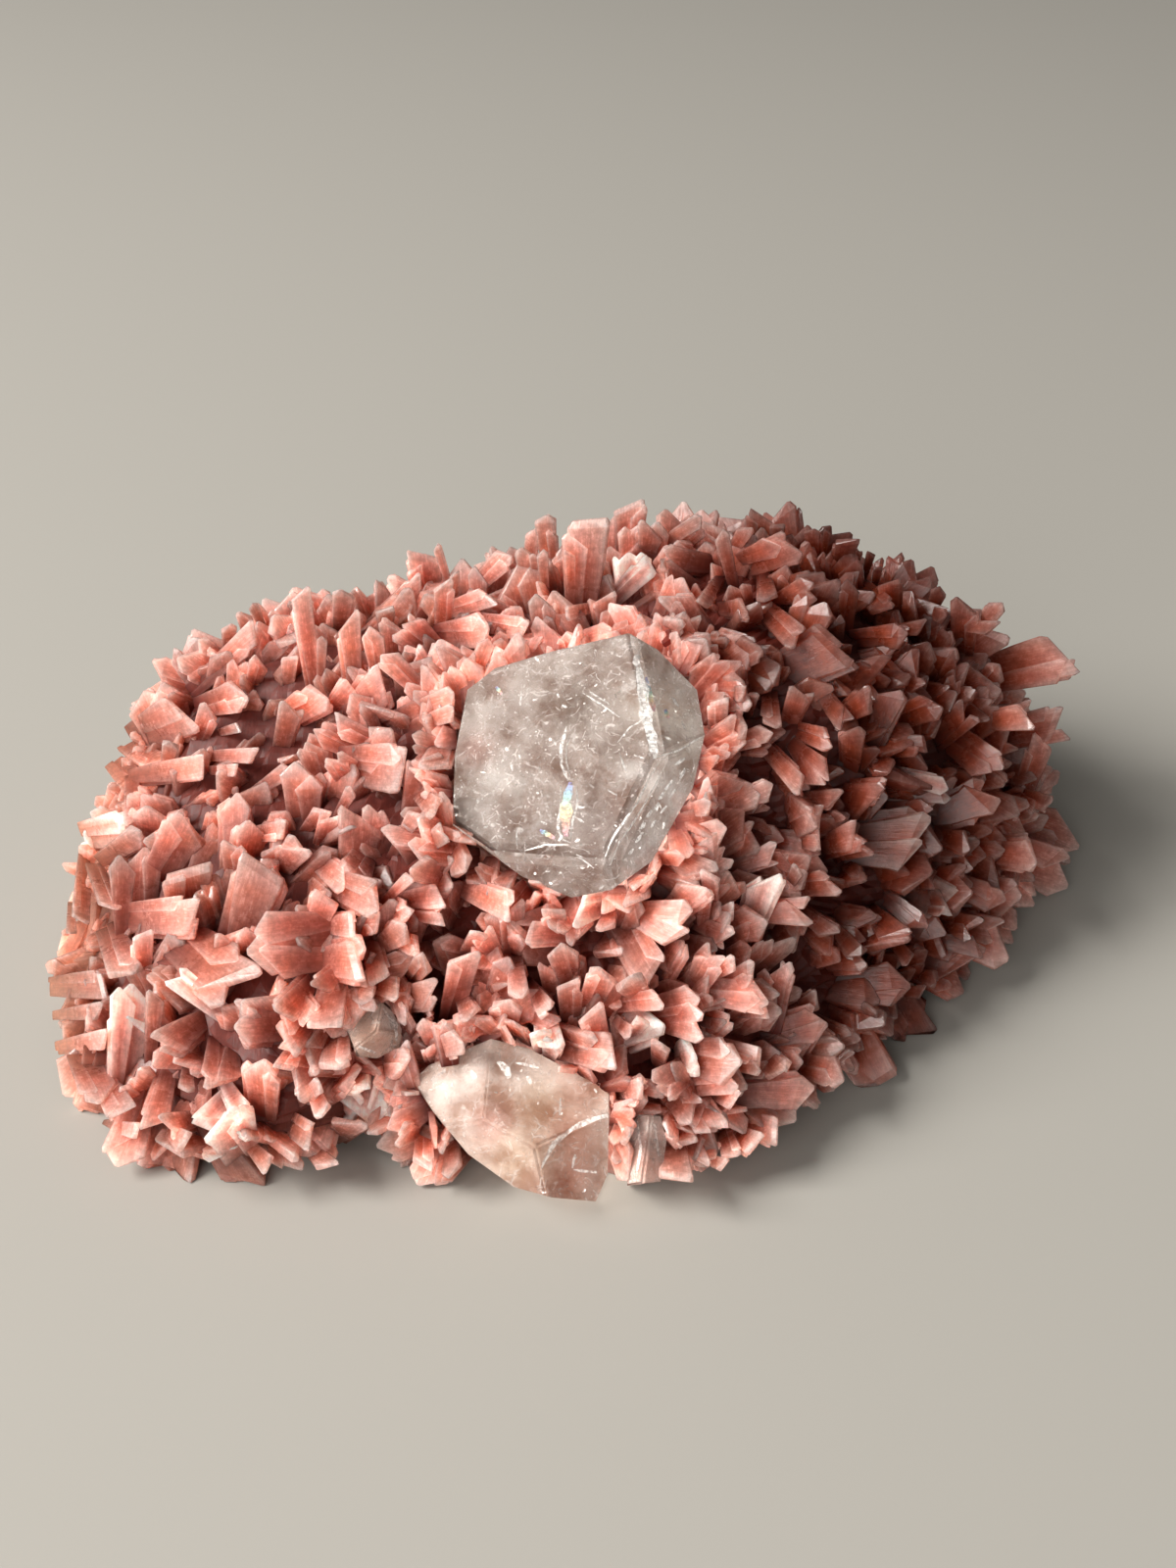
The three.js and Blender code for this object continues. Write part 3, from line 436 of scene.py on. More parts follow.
# Blades painted pale, partly their own paler colour and partly painted highlights where they catch
# the light, and deep hollows between the blades: across, up, radius
PALE_AND_HIGHLIGHT_PLACES = [
    (-43.3, 1.3, 1.6), (-24.6, -3.8, 1.2), (-41.6, -20.6, 1.3), (-26.0, -18.1, 1.2), (-0.3, -12.1, 1.2),
    (-3.7, -26.2, 1.2), (5.7, -24.1, 1.2), (11.4, -27.8, 1.6), (34.6, -0.4, 1.4), (-33.3, -33.9, 1.2),
    (-35.9, -32.5, 1.2), (-22.8, -32.0, 2.2), (5.2, 21.2, 1.8), (17.6, -11.4, 1.8), (35.8, -12.0, 1.6),
    (-36.6, -35.4, 1.8), (-46.6, -24.6, 2.4), (-49.5, -4.9, 2.2), (31.9, -5.6, 2.0),
]
CAVITIES = [
    (34.1, 14.6, 2.6), (-16.0, 13.0, 1.5), (20.3, -17.0, 2.4), (24.0, -19.0, 2.0), (34.0, -17.5, 1.6),
    (36.0, 2.0, 1.6), (-38.5, 3.0, 3.2), (-35.5, -1.0, 2.2), (-41.0, -11.0, 1.6), (21.0, 3.0, 1.8),
    (-31.0, -33.0, 1.4), (14.8, 1.0, 1.6), (16.0, -4.0, 1.6), (-25.8, -24.0, 2.4),
]
SPEAR, FLAT, FAN = "spear", "flat", "fan"

# The seen blades, in millimetres on the sheet: root across, root up, tip across, tip up and width,
# then the end where it is not a spear
SEEN_BLADES = [
    # Top left
    (-39.1, 10.9, -33.6, 15.9, 2.2), (-33.1, 17.0, -30.3, 14.3, 2.2), (-25.3, 16.0, -24.9, 19.8, 2.1),
    (-23.8, 10.0, -24.5, 17.7, 2.2), (-16.8, 9.5, -20.9, 13.4, 2.0), (-20.2, 18.2, -16.4, 20.7, 2.5),
    (-16.8, 14.2, -19.2, 16.2, 3.2, FLAT), (-16.4, 19.7, -16.9, 24.1, 3.2, FLAT),
    (-14.0, 15.0, -10.1, 15.6, 3.0), (-12.0, 20.5, -8.1, 23.6, 2.0),
    # Top middle
    (-4.0, 23.9, -4.4, 27.5, 2.1), (-6.0, 20.0, -6.4, 24.1, 2.1), (-4.7, 14.6, -4.9, 19.4, 2.3),
    (-0.3, 19.1, 0.2, 27.4, 3.8, FLAT), (4.3, 26.0, 4.3, 29.0, 2.9), (6.0, 23.1, 6.5, 26.8, 2.6),
    (3.7, 19.7, 6.7, 22.7, 2.1, FLAT), (1.8, 16.8, 1.6, 19.6, 2.4, FLAT), (-11.1, 16.4, -6.2, 15.6, 2.0),
    (11.6, 22.6, 7.7, 23.1, 2.7), (18.2, 24.4, 18.2, 27.7, 3.4, FLAT), (16.4, 22.4, 21.5, 24.3, 3.2),
    (25.6, 22.0, 26.6, 25.1, 2.2),
    # Top right
    (19.3, 18.9, 23.1, 19.9, 2.4, FAN), (14.1, 17.9, 16.3, 17.9, 2.0), (11.3, 15.9, 8.2, 19.9, 2.8),
    (18.3, 17.2, 21.6, 14.4, 2.4), (21.3, 11.9, 26.3, 14.4, 4.5, FLAT), (14.6, 12.6, 17.4, 14.5, 2.6),
    (10.4, 11.8, 12.2, 14.6, 3.0), (7.9, 14.8, 9.1, 17.0, 2.0), (28.4, 19.4, 30.4, 17.5, 2.2),
    (30.9, 18.0, 30.7, 20.9, 2.2, FLAT), (28.9, 14.8, 32.6, 15.0, 2.2), (31.7, 11.0, 34.3, 13.0, 2.6),
    (39.7, 14.3, 38.4, 19.0, 2.6), (44.1, 13.1, 49.8, 13.5, 4.5, FLAT), (40.5, 9.8, 42.1, 12.0, 2.2),
    # Left lobe
    (-48.4, 5.7, -40.6, 7.4, 4.2, FLAT), (-39.8, 4.8, -38.5, 8.0, 2.0), (-38.8, 8.4, -34.8, 9.4, 2.8),
    (-45.5, 1.0, -39.0, 1.8, 2.4, FLAT), (-47.5, 3.8, -43.6, 2.0, 2.5), (-46.5, -0.2, -46.2, -4.0, 2.0),
    (-47.2, 1.5, -44.0, -1.8, 3.0), (-52.5, -5.2, -46.4, -4.6, 3.6), (-48.9, -7.2, -45.5, -5.0, 2.3),
    (-42.6, -8.0, -40.4, -3.4, 4.0), (-36.0, -6.0, -36.0, -0.9, 3.0), (-36.1, -9.0, -36.2, -5.9, 2.3, FLAT),
    (-31.3, 3.8, -30.2, 8.2, 2.3), (-30.5, 6.8, -26.9, 9.2, 3.0), (-26.0, 7.6, -24.0, 10.2, 2.0, FLAT),
    (-23.5, 7.8, -20.3, 10.8, 3.6, FLAT), (-16.6, 7.9, -18.0, 10.6, 2.2), (-18.7, 7.2, -13.6, 9.0, 2.0),
    (-21.5, 4.4, -26.3, 6.4, 2.0, FLAT), (-22.0, 1.8, -19.4, 4.9, 3.4), (-24.0, 1.6, -18.6, 1.4, 4.2, FLAT),
    (-14.6, 4.6, -16.0, 1.4, 2.6), (-17.4, -0.8, -15.4, -2.8, 2.0), (-29.3, -2.4, -29.3, 2.2, 3.8),
    (-27.0, 0.8, -28.4, 4.4, 2.5), (-23.6, -7.0, -23.0, -2.3, 4.2, FLAT), (-23.2, -7.2, -24.4, -9.9, 2.8),
    (-31.0, -8.5, -29.2, -6.2, 2.4), (-32.2, -8.4, -32.2, -6.3, 2.0),
    # Lower left
    (-40.4, -12.0, -40.8, -8.0, 4.2, FLAT), (-46.3, -13.0, -46.3, -6.5, 4.0),
    (-46.0, -13.9, -39.6, -13.5, 3.2, FLAT), (-48.8, -15.8, -47.0, -19.6, 3.0),
    (-41.4, -16.6, -35.2, -21.0, 5.0), (-37.8, -23.2, -42.6, -19.4, 2.0, FLAT),
    (-47.0, -28.9, -46.2, -20.4, 3.4), (-40.0, -24.5, -43.7, -27.0, 3.0, FLAT),
    (-50.3, -9.0, -48.6, -12.8, 2.0), (-53.6, -20.8, -49.0, -20.6, 2.4, FLAT),
    (-35.0, -14.4, -32.9, -7.6, 4.3, FLAT), (-27.2, -16.0, -34.8, -16.6, 5.2),
    (-27.5, -14.0, -26.6, -11.2, 2.4, FLAT), (-26.3, -10.2, -21.2, -12.2, 3.0),
    (-28.0, -7.6, -24.6, -10.2, 2.4), (-26.2, -14.4, -23.8, -14.4, 2.2, FLAT),
    (-26.2, -18.0, -22.8, -18.0, 3.6, FLAT), (-21.0, -16.4, -18.5, -14.6, 2.4),
    (-20.0, -12.4, -18.4, -13.9, 2.0), (-18.6, -11.8, -14.6, -11.4, 2.2, FLAT),
    (-25.8, -20.6, -26.9, -25.0, 3.0, FLAT), (-28.6, -20.6, -31.4, -23.8, 2.4),
    (-28.8, -23.8, -31.2, -26.8, 3.0, FLAT), (-31.3, -24.7, -36.0, -24.4, 3.6),
    (-26.4, -27.8, -30.3, -31.1, 3.4), (-25.8, -25.8, -25.9, -29.2, 2.6), (-33.3, -32.6, -33.4, -28.1, 3.0),
    (-37.3, -27.8, -37.5, -31.4, 2.9, FLAT), (-43.0, -30.2, -44.5, -35.5, 2.2, FLAT),
    (-35.9, -37.2, -37.4, -33.5, 4.2), (-40.4, -34.2, -43.4, -35.0, 2.2),
    (-30.2, -34.9, -28.0, -36.3, 2.2, FLAT), (-22.8, -29.2, -22.9, -34.8, 4.4),
    (-18.3, -32.2, -19.8, -34.2, 2.0), (-25.4, -35.6, -23.8, -34.2, 2.8), (-51.0, -28.6, -49.2, -32.4, 3.0),
    (-49.2, -30.0, -47.4, -33.6, 2.4, FLAT), (-31.4, -36.6, -30.2, -39.7, 2.4),
    # Lower middle
    (-12.8, -10.6, -7.6, -12.8, 2.4, FLAT), (-7.5, -16.2, -7.8, -12.0, 2.3, FLAT),
    (-3.0, -15.4, -3.6, -12.6, 2.0, FLAT), (-1.2, -15.2, -6.4, -15.2, 2.0, FLAT),
    (-2.0, -23.6, -2.0, -19.9, 2.0, FLAT), (-9.3, -17.6, -10.9, -15.0, 2.0),
    (-8.2, -25.0, -8.2, -22.0, 2.6), (3.4, -14.5, 7.0, -20.2, 3.0, FLAT),
    (3.9, -13.0, 10.2, -14.6, 3.6, FAN), (6.0, -22.0, 3.8, -19.8, 2.6), (0.6, -22.2, 1.7, -18.9, 2.4),
    (1.4, -27.6, 0.1, -22.6, 2.4, FLAT), (5.6, -9.6, 4.8, -12.4, 2.2, FLAT),
    (-13.4, -22.0, -12.4, -17.0, 2.6), (-19.6, -21.9, -15.2, -21.2, 2.5), (-14.4, -9.6, -17.9, -8.2, 2.4),
    (-1.6, -26.6, 3.1, -27.4, 3.0, FLAT), (9.9, -28.9, 7.0, -31.0, 2.8), (11.2, -3.6, 13.0, 0.2, 2.0),
    (9.2, -5.6, 14.2, -4.8, 2.4), (8.4, -10.0, 14.2, -6.2, 3.2, FLAT), (15.8, -8.2, 19.5, -6.7, 2.0),
    (8.4, -13.0, 11.6, -10.1, 2.8), (16.6, -14.2, 18.6, -8.8, 2.8), (11.6, -14.4, 14.7, -15.8, 2.0),
    (17.4, -13.3, 22.9, -13.1, 2.4), (21.6, -10.6, 25.7, -10.0, 2.4), (10.5, -21.0, 12.8, -17.0, 2.4),
    (12.0, -20.8, 18.5, -21.9, 2.8), (18.6, -22.8, 19.6, -17.9, 2.8), (7.2, -22.4, 11.3, -21.6, 2.2),
    (7.4, -24.4, 11.7, -24.2, 3.0, FAN), (19.8, -25.0, 24.4, -24.2, 3.0), (23.8, -24.9, 26.6, -26.2, 2.0),
    (10.3, -28.2, 15.6, -28.8, 3.6), (10.2, -30.9, 15.2, -30.1, 2.4), (11.2, -32.2, 13.0, -35.7, 2.8, FLAT),
    (16.8, -32.0, 23.1, -32.0, 3.8), (16.3, -34.5, 19.6, -35.6, 2.4, FLAT), (22.2, -28.4, 26.2, -29.8, 2.6),
    (22.8, -26.6, 27.5, -27.8, 3.0), (8.8, -36.8, 9.0, -40.6, 2.8, FLAT), (10.4, -35.8, 11.4, -39.4, 2.2),
    (15.2, -35.8, 17.2, -36.8, 2.2, FLAT),
    # Right
    (15.0, -1.9, 19.0, -0.4, 2.0), (20.8, 4.2, 24.3, 0.2, 2.6, FAN), (21.6, 5.2, 25.0, 4.2, 2.0),
    (26.9, 1.8, 27.0, 6.0, 2.4), (26.2, 7.0, 29.2, 9.0, 2.4), (26.3, -1.5, 30.0, -2.0, 3.8, FLAT),
    (24.2, -6.2, 27.7, -5.0, 2.6, FLAT), (25.6, -7.4, 28.4, -6.0, 2.0, FAN),
    (21.4, -5.2, 23.9, -5.6, 2.2, FLAT), (20.4, 6.2, 21.8, 9.8, 2.2, FLAT), (29.0, 4.4, 31.4, 9.8, 2.6),
    (32.3, 6.6, 36.0, 8.2, 2.6), (36.4, 5.5, 39.0, 7.8, 2.6), (39.9, 6.3, 45.5, 6.8, 2.4, FLAT),
    (38.2, 3.9, 41.9, 1.0, 3.0), (29.2, 2.8, 30.8, 1.2, 2.2), (36.6, -2.9, 41.7, -0.8, 3.6),
    (28.8, -5.6, 35.0, -5.6, 5.0), (36.2, -5.3, 39.1, -6.2, 2.2), (45.0, -1.0, 46.6, 5.0, 2.3, FLAT),
    (43.4, 5.2, 48.8, 6.4, 3.2, FLAT), (40.8, -7.0, 45.8, -7.4, 3.0), (34.2, -11.8, 37.3, -12.2, 2.4, FLAT),
    (31.2, -12.4, 34.5, -14.9, 2.1), (37.6, -10.4, 42.4, -12.4, 2.6), (36.6, -13.8, 40.0, -15.0, 2.6),
    (28.8, -14.6, 31.4, -17.0, 4.0), (27.2, -20.3, 32.9, -20.2, 3.8),
    # Slim, all over
    (-34.1, 10.0, -33.3, 13.1, 1.8), (-27.9, 10.4, -29.4, 20.0, 1.9), (-21.0, 11.0, -22.1, 16.1, 1.9),
    (-20.7, 15.7, -20.7, 17.9, 1.8, FLAT), (-15.0, 16.3, -14.7, 20.9, 1.8), (-14.6, 17.4, -9.5, 19.2, 1.9),
    (18.1, 21.0, 18.4, 18.7, 1.8), (13.2, 13.6, 13.6, 15.2, 1.8), (26.5, 17.0, 26.8, 20.9, 1.8),
    (42.5, 15.5, 42.1, 18.6, 1.8), (36.3, 9.8, 37.9, 11.1, 1.8), (-18.2, -2.0, -17.5, 2.4, 1.8, FLAT),
    (-24.2, 0.0, -26.1, 2.8, 1.8), (-45.4, -19.8, -45.4, -14.9, 1.8, FLAT),
    (-53.3, -26.6, -49.0, -26.0, 1.8), (-23.8, -14.5, -21.1, -14.1, 1.8, FLAT),
    (-22.3, -16.0, -21.2, -20.3, 1.9, FLAT), (-25.6, -19.2, -27.7, -21.2, 1.9),
    (-36.5, -31.4, -34.9, -34.2, 1.8), (-2.2, -20.2, -3.4, -16.4, 1.8), (7.2, -28.4, 7.4, -26.4, 1.8),
    (3.4, -31.4, 5.6, -31.0, 1.8), (22.2, -13.4, 25.3, -15.6, 1.8), (21.4, -23.0, 23.6, -21.8, 1.8, FLAT),
    (12.8, -31.4, 15.3, -32.4, 1.8, FLAT), (18.0, 3.8, 22.0, -0.6, 1.8), (22.0, -1.4, 26.0, -1.5, 1.8),
    (23.8, 9.2, 26.3, 6.0, 1.8), (39.8, -12.4, 41.3, -13.8, 1.8),
    # Narrow, top
    (-42.1, 14.6, -37.9, 13.2, 1.7, FLAT), (-38.5, 14.8, -36.6, 16.3, 1.5), (-36.5, 16.2, -35.2, 17.5, 1.5),
    (-30.6, 10.1, -30.4, 13.2, 1.6, FLAT), (-6.5, 24.8, -5.4, 26.2, 1.6), (7.0, 26.3, 11.7, 27.1, 1.5),
    (10.1, 25.0, 11.6, 26.1, 1.7), (14.7, 20.9, 13.5, 25.9, 1.5), (14.6, 23.4, 16.4, 26.4, 1.6),
    (23.1, 23.1, 22.8, 26.1, 1.7), (34.0, 17.9, 36.5, 17.0, 1.5), (30.9, 15.6, 34.6, 16.1, 1.5),
    (36.0, 18.0, 36.0, 20.1, 1.6), (-17.7, 12.0, -18.4, 13.7, 1.5), (-14.7, 21.4, -15.5, 24.5, 0.9),
    (-13.6, 18.9, -13.6, 21.6, 1.0), (-35.0, 17.2, -34.3, 18.4, 1.0), (-32.1, 17.7, -30.1, 18.4, 0.9),
    (-4.3, 19.1, -4.7, 23.9, 1.1), (-1.7, 19.1, -1.9, 23.9, 1.1), (0.6, 18.1, -2.3, 17.3, 1.4),
    (-9.0, 13.0, -9.4, 15.5, 2.2), (24.3, 23.3, 24.4, 25.9, 0.7), (27.3, 21.8, 27.6, 23.8, 0.9),
    (28.6, 21.6, 28.9, 23.6, 0.9), (29.2, 20.2, 29.6, 22.1, 0.9), (20.1, 20.7, 22.9, 21.1, 1.4),
    (22.9, 19.7, 25.0, 20.9, 1.3), (13.2, 20.8, 11.6, 18.2, 1.4), (39.9, 18.7, 42.0, 15.9, 1.4),
    # Narrow, left
    (-27.3, 10.0, -27.1, 15.1, 1.0), (-38.8, 2.9, -33.6, 2.9, 1.5, FLAT), (-21.8, 6.0, -22.8, 8.3, 1.6),
    (-17.6, 6.0, -13.6, 7.4, 1.6), (-24.5, 3.3, -28.2, 5.2, 1.7), (-33.8, -0.7, -30.2, 1.7, 1.6),
    (-27.0, -5.8, -26.2, -3.1, 1.7, FLAT), (-28.6, -4.4, -26.9, -2.5, 1.6), (-19.4, -6.3, -17.4, -2.8, 1.5),
    (-33.6, -4.9, -30.8, -4.6, 1.7, FLAT), (-43.0, 1.8, -42.5, 4.3, 1.6),
    (-38.4, 1.4, -35.8, 1.4, 1.2, FLAT), (-37.8, 5.2, -35.5, 5.8, 1.0, FLAT), (-22.7, 1.2, -25.8, 2.7, 1.6),
    (-25.4, -3.0, -24.0, -0.4, 1.2), (-16.6, -6.6, -14.6, -4.9, 1.8), (-44.6, -27.0, -44.1, -21.0, 1.6),
    (-52.3, -8.4, -51.8, -14.1, 1.7, FLAT), (-19.4, -15.6, -17.0, -16.8, 1.7),
    (-29.9, -26.9, -31.2, -29.2, 1.7, FLAT), (-28.4, -30.3, -26.9, -33.8, 1.6),
    (-28.2, -37.4, -26.3, -39.2, 1.7), (-53.8, -12.9, -52.7, -15.3, 1.0), (-53.5, -23.5, -49.5, -23.1, 1.6),
    (-20.8, -12.0, -18.1, -9.4, 1.1), (-18.6, -13.3, -14.5, -13.9, 1.1, FLAT),
    (-24.6, -20.2, -23.2, -24.6, 3.0), (-29.4, -21.8, -28.4, -23.9, 2.0), (-40.9, -29.4, -41.0, -31.4, 1.4),
    (-29.4, -32.4, -27.3, -30.6, 1.4), (-21.4, -27.8, -18.3, -28.6, 2.6), (-19.6, -31.2, -17.8, -31.6, 1.2),
    (-42.8, -35.2, -41.0, -36.6, 1.8), (-34.0, -37.4, -32.4, -39.2, 1.6), (-48.6, -34.9, -45.9, -35.4, 1.4),
    # Narrow, middle
    (-12.4, -17.0, -11.0, -15.1, 1.6), (-7.3, -17.8, -7.0, -21.9, 1.7), (-5.6, -20.8, -4.1, -23.2, 1.7),
    (3.4, -22.6, 7.6, -22.0, 1.7), (-18.0, -20.2, -16.4, -17.9, 1.7), (12.7, -12.5, 12.4, -8.9, 1.7),
    (13.0, -13.5, 15.0, -12.9, 1.6), (25.4, -14.9, 27.7, -17.6, 1.7), (13.0, -26.4, 17.8, -28.0, 1.7, FLAT),
    (13.9, -35.9, 14.8, -38.2, 1.7), (-1.2, -19.6, -1.8, -16.6, 1.2), (-12.8, -22.0, -11.9, -23.9, 1.8),
    (4.4, -25.6, 5.8, -23.9, 1.4, FLAT), (3.0, -24.2, 4.4, -25.6, 1.3), (-4.0, -28.0, -3.6, -26.1, 1.8),
    (4.2, -31.0, 5.6, -30.0, 1.0), (3.9, -30.9, 5.1, -32.6, 1.5), (1.2, -34.6, 4.2, -33.0, 1.8),
    (2.9, -35.0, 4.2, -36.1, 1.6), (-17.0, -27.4, -12.8, -26.2, 2.2), (-17.2, -36.0, -12.8, -37.6, 2.2),
    (9.6, -2.8, 12.6, -2.2, 1.6), (11.7, -14.2, 12.0, -10.8, 1.3), (20.4, -10.6, 21.5, -8.5, 1.3),
    (10.6, -18.2, 12.6, -16.6, 1.1), (12.6, -19.7, 15.1, -18.0, 1.4), (13.8, -20.3, 17.2, -18.9, 2.0),
    (15.0, -23.4, 18.5, -23.3, 1.1, FLAT), (12.1, -24.3, 14.0, -24.8, 1.3), (21.2, -27.0, 24.1, -26.1, 1.6),
    (15.0, -28.8, 17.6, -29.0, 1.3), (26.3, -26.0, 28.2, -27.0, 1.2), (23.3, -31.3, 25.0, -30.8, 0.9),
    (11.6, -36.8, 13.1, -38.0, 1.8), (11.8, -38.2, 14.0, -38.9, 1.2), (18.2, -28.0, 19.8, -29.6, 2.4),
    # Narrow, right
    (13.4, 4.8, 13.4, 8.9, 1.7, FLAT), (14.0, 4.0, 18.8, 5.4, 1.7), (18.7, 9.0, 18.8, 5.7, 1.7),
    (31.6, 10.6, 34.3, 9.8, 1.6), (30.3, 4.6, 34.8, 4.0, 1.6, FLAT), (31.0, 1.0, 36.8, -0.4, 1.7),
    (32.0, -1.2, 37.0, -1.1, 1.7), (44.2, -0.9, 47.2, -2.1, 1.7), (41.0, -5.8, 44.9, -5.8, 1.6, FLAT),
    (36.0, -16.1, 39.5, -16.9, 1.7), (28.9, -25.2, 28.8, -22.6, 1.6, FLAT), (29.8, -22.4, 31.8, -23.3, 1.6),
    (33.8, -19.4, 35.6, -20.0, 1.6), (22.0, -2.6, 23.9, -2.7, 1.0, FLAT), (24.2, -4.0, 25.9, -3.0, 1.2),
    (14.0, 9.3, 16.0, 9.2, 1.5, FLAT), (16.4, 7.0, 17.0, 9.4, 1.0), (36.1, 8.8, 37.7, 10.8, 1.8),
    (42.6, 7.5, 45.3, 8.1, 1.1), (31.0, 3.0, 33.8, 3.4, 1.0), (31.4, -2.4, 35.2, -2.3, 1.5),
    (43.8, -1.2, 45.8, -2.7, 1.5), (36.2, -8.0, 39.3, -8.4, 1.5), (33.3, -10.2, 35.3, -10.1, 1.2),
    (36.4, -17.0, 38.0, -18.2, 1.4), (31.0, -15.8, 32.9, -18.3, 1.5), (32.0, -21.2, 34.5, -21.2, 1.3),
    (29.0, -25.2, 30.0, -26.2, 1.2),
    # Slim, between the front crystal and the side one
    (3.2, -32.0, 2.6, -34.9, 1.8), (3.6, -34.2, 2.9, -36.8, 1.6), (3.9, -36.2, 3.2, -38.8, 1.6),
    (4.2, -38.0, 3.7, -40.4, 1.5), (2.9, -33.2, 4.4, -35.4, 1.4), (3.3, -36.0, 4.6, -38.2, 1.4),
]
BLADE_SEED = 21
TIP_LIFT = (2.6, 5.1)
TIP_REACH = (5.0, 4.0)
ROOT_SINK = 1.6
FACE_TURN = 0.5
LIFT_SEED = 5000
TURN_SEED = 7000
ROOT_DEPTH = 2.6
LEAST_HEIGHT = 0.12
WIDENING = 1.15
GRAIN_STEP = 7.31
TWO_PLATES_WIDTH = 1.9
THREE_PLATES_WIDTH = 3.2
# How far off the mass a blade point stands, in millimetres, from full painted crevice shade to none
CREVICE_SHADE_STAND_OFF = (-3.0, 2.6)
CRYSTAL_CONTACT = 0.25


def scatter(index):
    """Repeatable number from 0 to 1 for a whole number, the same one that the solids use."""
    bits = (index + 1) * 0x9E3779B1 & 0xFFFFFFFF
    bits = (bits ^ (bits >> 15)) * 0x85EBCA6B & 0xFFFFFFFF
    bits = (bits ^ (bits >> 13)) * 0xC2B2AE35 & 0xFFFFFFFF
    return (bits ^ (bits >> 16)) / 4294967296


def sight_line(across, up):
    line = FORWARD * SHEET_DISTANCE + SHEET_RIGHT * across + SHEET_UP * up
    return line / np.linalg.norm(line)


def distance_to_mass(line):
    places = EYE + SIGHT_STEPS[:, None] * line
    hit = (places[:, 2] < mass_top(places[:, 0], places[:, 1])) & (places[:, 2] > 0)
    return SIGHT_STEPS[hit.argmax()] if hit.any() else None


def root_on_mass(across, up):
    """Distance and place of the mass behind a sheet place, or behind the next one inwards."""
    for share in np.arange(0, 1, 0.01):
        spot = np.array([across, up]) * (1 - share) + SHEET_CENTRE * share
        line = sight_line(*spot)
        distance = distance_to_mass(line)
        if distance is not None:
            return distance, EYE + line * distance
    raise ValueError("no mass behind this place on the sheet")


def unit(vector):
    return vector / np.linalg.norm(vector)


def on_sheet(points):
    """Across and up, on the sheet, of places on the cluster."""
    reach = points - EYE
    scale = SHEET_DISTANCE / (reach @ FORWARD)
    return np.stack([reach @ SHEET_RIGHT * scale, reach @ SHEET_UP * scale], 1)


def in_any(spots, circles):
    """How far each sheet place is into one of the circles, from 0 outside to 1 at its centre."""
    across, up = spots.T
    shares = [1 - np.hypot(across - circle[0], up - circle[1]) / circle[2] for circle in circles]
    return np.clip(np.max(shares, axis=0), 0, 1)


# Corners of a blade's cross-section as shares of its half width and half thickness, with a
# bevelled edge on each side and a slight crown along the middle of each broad face
SECTION = np.array([
    (1.0, -0.68), (1.0, 0.68), (0.9, 0.96), (0.0, 1.04), (-0.9, 0.96),
    (-1.0, 0.68), (-1.0, -0.68), (-0.9, -0.96), (0.0, -1.04), (0.9, -0.96),
])
SECTION_EDGE = np.array([0.8, 0.8, 1.0, 0.0, 1.0, 0.8, 0.8, 1.0, 0.0, 1.0])
CORNERS = len(SECTION)
RINGS = 4
LAST_EDGE = 0.85


